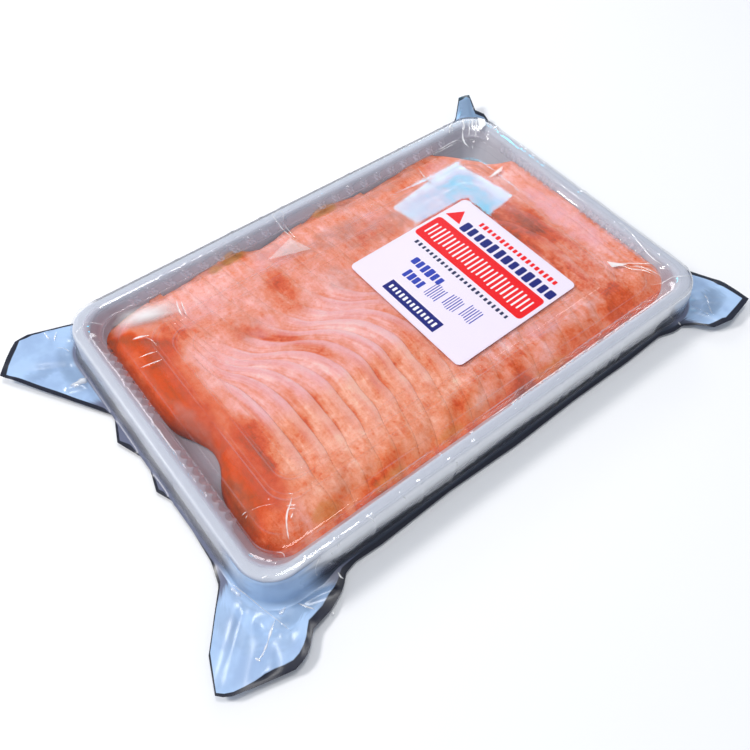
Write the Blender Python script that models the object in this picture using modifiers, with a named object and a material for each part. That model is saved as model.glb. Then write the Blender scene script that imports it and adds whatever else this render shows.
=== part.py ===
"""Vacuum pack of smoked salmon slices: tray, clear lid, label and pouch.

Metres, +Z up. The origin is the middle of the flat face that the pack rests on.
The long side of the tray runs along X and the short side along Y.
"""
import math

import bmesh
import bpy

COLLECTION_NAME = "salmon_pack"

# Tray, seen from above: the outside of its rolled rim.
RIM_LENGTH = 0.275
RIM_WIDTH = 0.177
RIM_CORNER = 0.017
CORNER_STEPS = 4

# Clearance between pieces that touch, and the thickness of each sheet.
GAP = 0.0003
FILM_THICKNESS = 0.0004
TRAY_THICKNESS = 0.0008
LID_THICKNESS = 0.0005
LABEL_THICKNESS = 0.0003

# Heights of the stack, from the table up.
TRAY_FLOOR_TOP = FILM_THICKNESS + GAP + TRAY_THICKNESS
FISH_BOTTOM = TRAY_FLOOR_TOP + GAP
FISH_TOP = 0.0142
LID_PANEL_TOP = FISH_TOP + 0.0010
LABEL_BOTTOM = LID_PANEL_TOP + GAP
FILM_PANEL_TOP = LABEL_BOTTOM + LABEL_THICKNESS + GAP + FILM_THICKNESS
CREST_TOP = 0.0206
FLANGE_TOP = CREST_TOP + GAP + LID_THICKNESS
FILM_CREST_TOP = FLANGE_TOP + GAP + FILM_THICKNESS

# Each profile runs outwards: inset from the rim's outside, height of the upper face,
# and corner radius. A negative inset is outside the rim.
TRAY_PROFILE = (
    (0.0180, TRAY_FLOOR_TOP, 0.011),
    (0.0155, 0.0021, 0.012),
    (0.0095, 0.0170, 0.013),
    (0.0082, 0.0194, 0.014),
    (0.0060, CREST_TOP, 0.014),
    (0.0030, CREST_TOP, 0.015),
    (0.0012, 0.0196, 0.016),
    (0.0004, 0.0175, 0.017),
    (0.0000, 0.0048, 0.017),
)
LID_PANEL_PROFILE = (
    (0.0420, LID_PANEL_TOP, 0.008),
    (0.0405, LID_PANEL_TOP - 0.0002, 0.009),
    (0.0330, LID_PANEL_TOP - 0.0002, 0.010),
    (0.0310, LID_PANEL_TOP + 0.0006, 0.011),
    (0.0290, LID_PANEL_TOP + 0.0003, 0.011),
    (0.0150, 0.0171, 0.013),
    (0.0128, 0.0168, 0.013),
)
LID_FLANGE_PROFILE = (
    (0.0066, FLANGE_TOP, 0.014),
    (0.0028, FLANGE_TOP, 0.015),
)
FLUTE_BOTTOM = (0.0113, 0.0172, 0.013)
FLUTE_TOP = (0.0087, 0.0208, 0.014)
FLUTE_PITCH = 0.014
FLUTE_DEPTH = 0.0008

FILM_PROFILE = (
    (0.0340, FILM_PANEL_TOP, 0.010),
    (0.0300, FILM_PANEL_TOP + 0.0004, 0.011),
    (0.0150, 0.0192, 0.013),
    (0.0095, 0.0214, 0.014),
    (0.0072, FILM_CREST_TOP - 0.0002, 0.014),
    (0.0026, FILM_CREST_TOP, 0.015),
    (0.0000, 0.0210, 0.017),
    (-0.0008, 0.0180, 0.018),
    (-0.0012, 0.0052, 0.018),
)
BASE_PROFILE = (
    (0.0170, FILM_THICKNESS, 0.012),
    (0.0110, 0.0006, 0.013),
    (0.0010, 0.0022, 0.017),
)
SEAM_INSET = -0.0036
SEAM_TOP = 0.0021
SEAM_EDGE_DROP = 0.0009
SEAM_MARGIN = 0.0050
SEAM_WAVES = ((9, 0.0010, 0.4), (17, 0.0007, 2.1), (31, 0.0004, 1.3))

# Points along half of each side of the pouch, as distances from the corner arc.
LONG_SIDE_STEPS = (0.008, 0.020, 0.038, 0.068)
SHORT_SIDE_STEPS = (0.008, 0.020, 0.038)

# Ears of the pouch, one at each corner, anticlockwise from the +X +Y corner:
# pull at the start and at the end of the ear, reach of its root before and after
# the corner, and how far its tip lifts off the table.
EARS = (
    ((0.013, 0.012), (0.012, 0.020), 0.022, 0.018, 0.0075),
    ((-0.020, 0.009), (-0.031, 0.004), 0.020, 0.052, 0.0045),
    ((-0.026, -0.014), (-0.010, -0.020), 0.026, 0.034, 0.0035),
    ((0.008, -0.013), (0.018, -0.014), 0.018, 0.024, 0.0050),
)
EAR_TIP_HALF = 0.016
EAR_RINGS = (0.45, 1.0)

LABEL_SIZE = 0.084
LABEL_CORNER = 0.003
LABEL_CENTRE = (0.042, -0.0065)
LABEL_TURN = math.radians(-0.8)

# Slices lie like shingles: each rises from the tray's floor towards +X, and its
# raised edge covers the foot of the next one.
SLICE_COUNT = 21
SLICE_THICKNESS = 0.0022
SLICE_RISE = 0.00308
SLICE_SLOPE = 0.285
FIRST_FOOT = -0.1205
FOOT_HALF_LENGTH = 0.0700
TOP_HALF_LENGTH = 0.0745
LENGTH_UNEVEN = 0.0022
FIRST_BULGE = 0.0120
STRAIGHT_FROM = 0.62
BARE_CORNER_START = 0.080
BARE_CORNER_CUT = 0.75
TRAY_END_STOP = 0.1190
FAN_SLOPES = (0.250, 0.190, 0.125)
FLOOR_CORNER_X = 0.1100
FLOOR_CORNER_Y = 0.0610
FLOOR_CORNER_RADIUS = 0.0108
SLICE_ROWS = 8
SLICE_COLUMNS = 4


def clear_scene():
    for old in list(bpy.data.objects):
        bpy.data.objects.remove(old, do_unlink=True)


def make_collection(name):
    made = bpy.data.collections.new(name)
    bpy.context.scene.collection.children.link(made)
    return made


def make_material(name, colour, roughness, alpha=1.0, transmission=0.0):
    made = bpy.data.materials.new(name)
    made.use_nodes = True
    shader = made.node_tree.nodes["Principled BSDF"]
    shader.inputs["Base Color"].default_value = (*colour, 1.0)
    shader.inputs["Roughness"].default_value = roughness
    shader.inputs["Metallic"].default_value = 0.0
    shader.inputs["Alpha"].default_value = alpha
    shader.inputs["Transmission Weight"].default_value = transmission
    made.diffuse_color = (*colour, alpha)
    return made


def tray_plastic():
    return make_material("white_polystyrene", (0.78, 0.79, 0.84), 0.35)


def lid_plastic():
    return make_material("clear_polystyrene", (0.90, 0.92, 0.95), 0.08, 0.35, 1.0)


def pouch_film():
    return make_material("clear_nylon_film", (0.72, 0.80, 0.92), 0.12, 0.35, 1.0)


def label_paper():
    return make_material("coated_label_paper", (0.86, 0.82, 0.90), 0.45)


def salmon_flesh():
    return make_material("smoked_salmon", (0.72, 0.24, 0.12), 0.35)


def side_positions(straight, steps):
    """Distances along a straight side, mirrored about its middle."""
    middle = [straight / 2]
    return [*steps, *middle, *[straight - step for step in reversed(steps)]]


def rim_stations(long_steps=(), short_steps=()):
    """Stations round the rim, as (corner, angle share, side share) and their run length.

    A station on an arc has a share of its quarter turn; one on a side has a share of
    that side. The run length is measured along the rim, anticlockwise.
    """
    arc = RIM_CORNER * math.pi / 2
    stations = []
    run = 0.0
    for corner in range(4):
        for step in range(CORNER_STEPS + 1):
            share = step / CORNER_STEPS
            stations.append((corner, share, 0.0, run + arc * share))
        run += arc
        is_long = corner % 2 == 0
        full = RIM_LENGTH if is_long else RIM_WIDTH
        straight = full - 2 * RIM_CORNER
        steps = long_steps if is_long else short_steps
        for along in side_positions(straight, steps):
            stations.append((corner, 1.0, along / straight, run + along))
        run += straight
    return stations, run


def arc_point(inset, radius, corner, share):
    """Point on a corner arc of the rounded rectangle set in by `inset`."""
    half_x = RIM_LENGTH / 2 - inset - radius
    half_y = RIM_WIDTH / 2 - inset - radius
    sign_x = (1, -1, -1, 1)[corner]
    sign_y = (1, 1, -1, -1)[corner]
    angle = math.pi / 2 * (corner + share)
    x = sign_x * half_x + radius * math.cos(angle)
    y = sign_y * half_y + radius * math.sin(angle)
    return x, y


def station_point(inset, radius, station):
    """Where a station falls on the rounded rectangle set in by `inset`."""
    corner, share, side_share, _ = station
    start = arc_point(inset, radius, corner, share)
    if side_share == 0.0:
        return start
    end = arc_point(inset, radius, (corner + 1) % 4, 0.0)
    x = start[0] + (end[0] - start[0]) * side_share
    y = start[1] + (end[1] - start[1]) * side_share
    return x, y


def outward(station):
    """Unit direction out of the rim at a station."""
    corner, share, _, _ = station
    angle = math.pi / 2 * (corner + share)
    return math.cos(angle), math.sin(angle)


def profile_ring(stations, inset, height, radius):
    points = [station_point(inset, radius, station) for station in stations]
    return [(x, y, height) for x, y in points]


def add_strip(bm, inner, outer):
    """Faces between two rings: one for each side, or bridged where their counts differ."""
    inner_next = inner[1:] + inner[:1]
    outer_next = outer[1:] + outer[:1]
    if len(inner) == len(outer):
        for corners in zip(inner, outer, outer_next, inner_next):
            bm.faces.new(corners)
        return
    edges = [bm.edges.get(pair) or bm.edges.new(pair) for pair in zip(inner, inner_next)]
    edges += [bm.edges.new(pair) for pair in zip(outer, outer_next)]
    bmesh.ops.bridge_loops(bm, edges=edges)


def sheet_object(name, rings, thickness, material, collection):
    """Closed sheet: rings joined from the middle outwards, then made solid downwards."""
    bm = bmesh.new()
    inner = [bm.verts.new(point) for point in rings[0]]
    middle = bm.faces.new(inner)
    for ring in rings[1:]:
        outer = [bm.verts.new(point) for point in ring]
        add_strip(bm, inner, outer)
        inner = outer
    bmesh.ops.recalc_face_normals(bm, faces=bm.faces)
    if middle.normal.z < 0:
        bmesh.ops.reverse_faces(bm, faces=bm.faces)
    mesh = bpy.data.meshes.new(name)
    bm.to_mesh(mesh)
    bm.free()
    mesh.shade_smooth()
    mesh.set_sharp_from_angle(angle=math.radians(35))
    mesh.materials.append(material)
    made = bpy.data.objects.new(name, mesh)
    collection.objects.link(made)
    solidify = made.modifiers.new("sheet_thickness", "SOLIDIFY")
    solidify.thickness = thickness
    solidify.offset = -1.0
    return made


def make_tray(collection):
    """White tray: flat floor, leaning wall, rolled rim and a skirt outside it."""
    stations, _ = rim_stations()
    rings = [profile_ring(stations, *row) for row in TRAY_PROFILE]
    sheet_object("tray", rings, TRAY_THICKNESS, tray_plastic(), collection)


def fluted_ring(inset, height, radius):
    """Ring whose straight sides are fluted, with a peak and a valley in each pitch."""
    points = []
    for corner in range(4):
        for step in range(CORNER_STEPS + 1):
            x, y = arc_point(inset, radius, corner, step / CORNER_STEPS)
            points.append((x, y, height))
        start = arc_point(inset, radius, corner, 1.0)
        end = arc_point(inset, radius, (corner + 1) % 4, 0.0)
        straight = math.dist(start, end)
        halves = 2 * round(straight / FLUTE_PITCH)
        normal = (math.cos(math.pi / 2 * (corner + 1)), math.sin(math.pi / 2 * (corner + 1)))
        for index in range(1, halves):
            share = index / halves
            push = FLUTE_DEPTH if index % 2 else 0.0
            x = start[0] + (end[0] - start[0]) * share + normal[0] * push
            y = start[1] + (end[1] - start[1]) * share + normal[1] * push
            points.append((x, y, height))
    return points


def make_lid(collection):
    """Clear lid pressed into the tray: sunk panel, sloped border, fluted plug and flange."""
    stations, _ = rim_stations()
    rings = [profile_ring(stations, *row) for row in LID_PANEL_PROFILE]
    rings.append(fluted_ring(*FLUTE_BOTTOM))
    rings.append(fluted_ring(*FLUTE_TOP))
    rings += [profile_ring(stations, *row) for row in LID_FLANGE_PROFILE]
    sheet_object("lid", rings, LID_THICKNESS, lid_plastic(), collection)


def ease(value):
    """Smooth step from 0 to 1."""
    held = min(1.0, max(0.0, value))
    return held * held * (3 - 2 * held)


def ear_pull(run, total):
    """How far the ears pull the pouch's edge at this place, and the share of their lift."""
    pull_x = 0.0
    pull_y = 0.0
    lift = 0.0
    arc = RIM_CORNER * math.pi / 2
    sides = (RIM_LENGTH - 2 * RIM_CORNER, RIM_WIDTH - 2 * RIM_CORNER)
    centre = arc / 2
    for index, (start_pull, end_pull, before, after, tip_lift) in enumerate(EARS):
        away = (run - centre + total / 2) % total - total / 2
        fade = before if away < 0 else after
        weight = 1.0 - ease((abs(away) - EAR_TIP_HALF) / fade)
        share = min(1.0, max(0.0, 0.5 + away / (2 * EAR_TIP_HALF)))
        pull_x += weight * (start_pull[0] + (end_pull[0] - start_pull[0]) * share)
        pull_y += weight * (start_pull[1] + (end_pull[1] - start_pull[1]) * share)
        lift += weight * tip_lift
        centre += arc + sides[index % 2]
    return pull_x, pull_y, lift


def edge_margin(run, total):
    """Width of the sealed margin outside the rim, uneven round the pack."""
    turn = 2 * math.pi * run / total
    return SEAM_MARGIN + sum(size * math.sin(waves * turn + phase) for waves, size, phase in SEAM_WAVES)


def seam_rings(stations, total, top):
    """Rings of the sealed margin and its ears, from the seam to the outer edge."""
    rings = [profile_ring(stations, SEAM_INSET, top, RIM_CORNER - SEAM_INSET)]
    for reach in EAR_RINGS:
        ring = []
        for station in stations:
            run = station[3]
            x, y = station_point(SEAM_INSET, RIM_CORNER - SEAM_INSET, station)
            out_x, out_y = outward(station)
            margin = edge_margin(run, total) * reach
            pull_x, pull_y, lift = ear_pull(run, total)
            height = top - SEAM_EDGE_DROP * reach + lift * reach * reach
            ring.append((x + out_x * margin + pull_x * reach, y + out_y * margin + pull_y * reach, height))
        rings.append(ring)
    return rings


def make_pouch(collection):
    """Upper and lower film of the vacuum pouch, with a sealed margin and four ears."""
    stations, total = rim_stations(LONG_SIDE_STEPS, SHORT_SIDE_STEPS)
    film = pouch_film()
    upper = [profile_ring(stations, *row) for row in FILM_PROFILE]
    upper += seam_rings(stations, total, SEAM_TOP + FILM_THICKNESS + GAP)
    sheet_object("pouch_top", upper, FILM_THICKNESS, film, collection)
    lower = [profile_ring(stations, *row) for row in BASE_PROFILE]
    lower += seam_rings(stations, total, SEAM_TOP)
    sheet_object("pouch_bottom", lower, FILM_THICKNESS, film, collection)


def make_label(collection):
    """Square label with rounded corners, flat on the lid's panel."""
    half = LABEL_SIZE / 2 - LABEL_CORNER
    outline = bpy.data.curves.new("label", "CURVE")
    outline.dimensions = "2D"
    outline.fill_mode = "BOTH"
    outline.extrude = LABEL_THICKNESS / 2
    spline = outline.splines.new("POLY")
    points = []
    for corner, (sign_x, sign_y) in enumerate(((1, 1), (-1, 1), (-1, -1), (1, -1))):
        for step in range(CORNER_STEPS + 1):
            angle = math.pi / 2 * (corner + step / CORNER_STEPS)
            x = sign_x * half + LABEL_CORNER * math.cos(angle)
            y = sign_y * half + LABEL_CORNER * math.sin(angle)
            points.append((x, y))
    spline.points.add(len(points) - 1)
    for point, (x, y) in zip(spline.points, points):
        point.co = (x, y, 0.0, 1.0)
    spline.use_cyclic_u = True
    outline.materials.append(label_paper())
    made = bpy.data.objects.new("label", outline)
    made.location = (*LABEL_CENTRE, LABEL_BOTTOM + LABEL_THICKNESS / 2)
    made.rotation_euler.z = LABEL_TURN
    collection.objects.link(made)


def slice_layout():
    """Foot position, slope and width of every slice, from -X to +X."""
    rise = FISH_TOP - FISH_BOTTOM - SLICE_THICKNESS
    slopes = [SLICE_SLOPE] * (SLICE_COUNT - len(FAN_SLOPES)) + list(FAN_SLOPES)
    layout = []
    foot = FIRST_FOOT
    for slope in slopes:
        layout.append((foot, slope, min(rise / slope, TRAY_END_STOP - foot)))
        foot += SLICE_RISE / slope
    return layout


def slice_bulge(index):
    """How far the raised edge bows out towards +X: rounded at -X, straight at +X."""
    place = index / (SLICE_COUNT - 1)
    return FIRST_BULGE * (1.0 - ease(place / STRAIGHT_FROM))


def corner_half_length(x):
    """Half the length that fits between the tray's rounded corners at this X."""
    beyond = abs(x) - FLOOR_CORNER_X
    if beyond <= 0:
        return TOP_HALF_LENGTH
    return FLOOR_CORNER_Y + math.sqrt(max(0.0, FLOOR_CORNER_RADIUS ** 2 - beyond ** 2))


def slice_ends(index, across, x):
    """Lowest and highest Y of a slice at this share of its width."""
    half = FOOT_HALF_LENGTH + (TOP_HALF_LENGTH - FOOT_HALF_LENGTH) * across
    half = min(half, corner_half_length(x))
    low = -half + LENGTH_UNEVEN * math.sin(2.3 * index + 0.7) ** 2
    high = half - LENGTH_UNEVEN * (1.0 + math.sin(1.7 * index + 1.9))
    bare = max(0.0, x - BARE_CORNER_START) * BARE_CORNER_CUT
    return low, high - bare


def make_slice(index, foot, slope, width, material, collection):
    """One slice: a sloped sheet with a bowed raised edge and uneven ends."""
    name = f"slice_{index + 1:02d}"
    bulge = slice_bulge(index)
    bm = bmesh.new()
    bmesh.ops.create_grid(bm, x_segments=SLICE_COLUMNS - 1, y_segments=SLICE_ROWS - 1, size=0.5)
    for vert in bm.verts:
        across = vert.co.x + 0.5
        along = 2 * vert.co.y
        flat_x = foot + width * across
        low, high = slice_ends(index, across, flat_x)
        y = low + (high - low) * (along + 1) / 2
        bow = bulge * (1.0 - along * along)
        height = FISH_BOTTOM + SLICE_THICKNESS + slope * width * across
        vert.co = (flat_x + bow, y, height)
    mesh = bpy.data.meshes.new(name)
    bm.to_mesh(mesh)
    bm.free()
    mesh.shade_smooth()
    mesh.materials.append(material)
    made = bpy.data.objects.new(name, mesh)
    collection.objects.link(made)
    solidify = made.modifiers.new("slice_thickness", "SOLIDIFY")
    solidify.thickness = SLICE_THICKNESS
    solidify.offset = -1.0
    solidify.use_even_offset = True


def make_slices(collection):
    material = salmon_flesh()
    for index, (foot, slope, width) in enumerate(slice_layout()):
        make_slice(index, foot, slope, width, material, collection)


def main():
    clear_scene()
    collection = make_collection(COLLECTION_NAME)
    make_tray(collection)
    make_slices(collection)
    make_lid(collection)
    make_label(collection)
    make_pouch(collection)


main()
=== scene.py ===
"""Looks for a vacuum pack of smoked salmon slices: tray, pressed lid, label, fish and pouch."""

import math
from functools import partial

import bpy
import numpy as np
from bpy.props import FloatProperty, FloatVectorProperty, PointerProperty
from mathutils import Matrix, Vector, noise
from mathutils.bvhtree import BVHTree


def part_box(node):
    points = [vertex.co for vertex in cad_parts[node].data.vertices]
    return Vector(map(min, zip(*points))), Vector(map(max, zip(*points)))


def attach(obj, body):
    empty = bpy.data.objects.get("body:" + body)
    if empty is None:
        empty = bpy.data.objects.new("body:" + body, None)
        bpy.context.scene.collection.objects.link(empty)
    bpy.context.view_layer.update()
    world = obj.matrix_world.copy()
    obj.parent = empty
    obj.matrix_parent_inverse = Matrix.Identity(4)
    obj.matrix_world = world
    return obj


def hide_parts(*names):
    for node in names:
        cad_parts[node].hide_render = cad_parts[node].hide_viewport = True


bl_info = {
    "name": "Smoked Salmon Pack",
    "version": (1, 0, 0),
    "blender": (4, 5, 0),
    "location": "3D View > Sidebar > Salmon Pack",
    "description": "Builds the looks of a vacuum pack of smoked salmon slices",
    "category": "Object",
}

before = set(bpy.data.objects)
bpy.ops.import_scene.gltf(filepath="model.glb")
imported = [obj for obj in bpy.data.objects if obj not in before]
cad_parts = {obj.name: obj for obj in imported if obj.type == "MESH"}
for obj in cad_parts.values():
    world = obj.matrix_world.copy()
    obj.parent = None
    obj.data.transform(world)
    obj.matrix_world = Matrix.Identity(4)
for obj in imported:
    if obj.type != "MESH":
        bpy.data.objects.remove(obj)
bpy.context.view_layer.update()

MM = 0.001
# Half of the rim's length and width, in mm.
RIM_X, RIM_Y = (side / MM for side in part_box("tray")[1][:2])
LABEL_LOW, LABEL_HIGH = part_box("label")
SLICE_NODES = sorted(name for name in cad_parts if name.startswith("slice_"))

# Profiles run outwards: inset from the rim's outside, height, corner radius, in mm.
TRAY_PROFILE = (
    (88, 1.5, 0.4), (60, 1.5, 6), (30, 1.5, 9), (19, 1.5, 11), (17.2, 1.5, 11.5), (15.5, 2.1, 12),
    (14, 4.5, 12.3), (8.8, 14.6, 13), (7.7, 17.2, 13.4), (6.6, 19.5, 13.8), (5.6, 20.4, 14.2),
    (4.4, 20.6, 14.8), (1.9, 20.6, 15.6), (0.9, 20.2, 16.2), (0.45, 18.6, 16.6), (0.3, 15, 16.8),
    (0.1, 9, 17), (0, 4.8, 17),
)
LID_PANEL_PROFILE = (
    (80, 15.2, 4), (60, 15.2, 6), (44, 15.2, 8), (42.6, 15.2, 8.5), (41.4, 15.5, 8.8), (40.2, 15.2, 9),
    (34.6, 15.2, 10.5), (33.2, 15.4, 10.8), (31.8, 15.9, 11), (30.2, 15.5, 11.2), (28.6, 16, 11.6),
    (27, 15.7, 12), (22, 16.2, 12.4), (15.4, 16.9, 12.8), (13.2, 16.9, 13), (12.4, 16.7, 13),
)
PLUG_PROFILE = (
    (11.6, 16.9, 13.1), (10.6, 17, 13.2), (9.8, 17.7, 13.4), (8.8, 18.9, 13.7), (8.2, 19.6, 13.9),
    (7.8, 20.2, 14), (7.4, 20.7, 14.2), (6.9, 21.1, 14.4), (5, 21.4, 15), (3.6, 21.4, 15.3),
    (2.4, 21.3, 15.6),
)
FILM_PROFILE = (
    (88, 16.35, 0.4), (34, 16.35, 10), (22, 16.36, 12.2), (18.5, 16.7, 12.6), (15, 17.15, 13),
    (11.6, 17.9, 13.4), (9.6, 19.6, 13.7), (7.4, 21.2, 14.1), (6, 21.75, 14.6), (5, 21.85, 15),
    (2.4, 21.9, 15.6), (0.8, 21.4, 16.4), (-0.3, 20, 17.3), (-0.9, 15, 17.9), (-1.2, 6, 18.2),
    (-1.9, 3.4, 18.9), (-3.6, 2.5, 20.6),
)
BASE_PROFILE = (
    (88, 0.12, 0.4), (17, 0.12, 12), (11, 0.4, 13), (1, 1.7, 17), (-3.6, 2.2, 20.6),
)

# The pouch's outer edge, as distance round the rim, place and height, in mm. It starts
# where the corner at +X +Y leaves the side at +X, and runs anticlockwise.
POUCH_EDGE = (
    (3, 152, 84, 3), (7, 155, 96, 6), (11, 151, 101, 8), (13.5, 157, 114, 9.5), (17, 149, 115, 9.5),
    (21, 136, 103, 6), (27, 124, 98, 2.4), (40, 108, 94.6, 1.6), (90, 57, 94, 1.4), (140, 7, 94.8, 1.4),
    (200, -53, 94.1, 1.4), (253, -106, 94.6, 1.6), (262, -116, 96, 2), (270, -128, 97, 2.4),
    (276, -142, 100.5, 3.4), (280, -153, 103, 4.6), (282.5, -160, 102, 5.2), (287, -173.5, 87, 5.5),
    (331, -140.2, 35, 2.2), (345.4, -146, 20.5, 2.8), (362, -139.6, 4, 1.8), (378.6, -144.2, -12.7, 2.6),
    (388, -140.2, -22, 1.8), (421, -142, -55, 1.6), (431, -145, -66, 2), (441, -163, -88, 3.2),
    (446, -169, -103, 4.2), (448, -165, -106.5, 4), (451.5, -153, -109.8, 3.4), (456, -138, -113.8, 3.8),
    (458.5, -131, -111, 4.2), (461.5, -125, -105, 3.6), (466, -115, -103, 3), (472, -106, -99, 2.4),
    (484.6, -100, -94.4, 1.6), (504.6, -80, -95.4, 1.4), (544.6, -40, -94.2, 1.4), (584.6, 0, -95.4, 1.4),
    (624.6, 40, -94.4, 1.4), (664.6, 80, -94.8, 1.4), (690, 105, -94, 1.6), (703, 121, -94.2, 1.8),
    (708, 127, -99, 2.6), (711, 131, -105.5, 4), (716, 142, -108.5, 5.2), (722, 160, -105.5, 6),
    (729, 160, -88, 4.6), (736, 154, -72, 2.8), (747, 146, -58, 1.8), (790, 143, -15, 1.4),
    (830, 143.6, 25, 1.4), (862, 144, 58, 1.8),
)

# Folds pressed into the ears: start, end, half width and height, in mm.
EAR_FOLDS = (
    ((-134, -84), (-131, -111), 0.9, 0.9), ((-138, -96), (-150, -108), 1.8, 1.6),
    ((-128, -91), (-108, -97), 1.2, 0.8), ((-141, -80), (-166, -103), 2.6, -1.4),
    ((-140, -88), (-141, -113), 2.2, -1.2), ((-124, -93), (-124, -104), 1.2, 0.7),
    ((-139, 80), (-158, 101), 2, 1.3), ((-141, 72), (-172, 87), 3, -1.5),
    ((-140, 58), (-152, 62), 2.2, 1.3), ((-136, 88), (-146, 100), 1.4, 0.9),
    ((132, -90), (138, -106), 1.6, 1.2), ((137, -86), (156, -104), 1.4, 1.3),
    ((139, -78), (158, -88), 1.8, -1), ((138, 88), (153, 113), 1.6, 1.6), ((128, 94), (140, 103), 1.2, 0.8),
)

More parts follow.
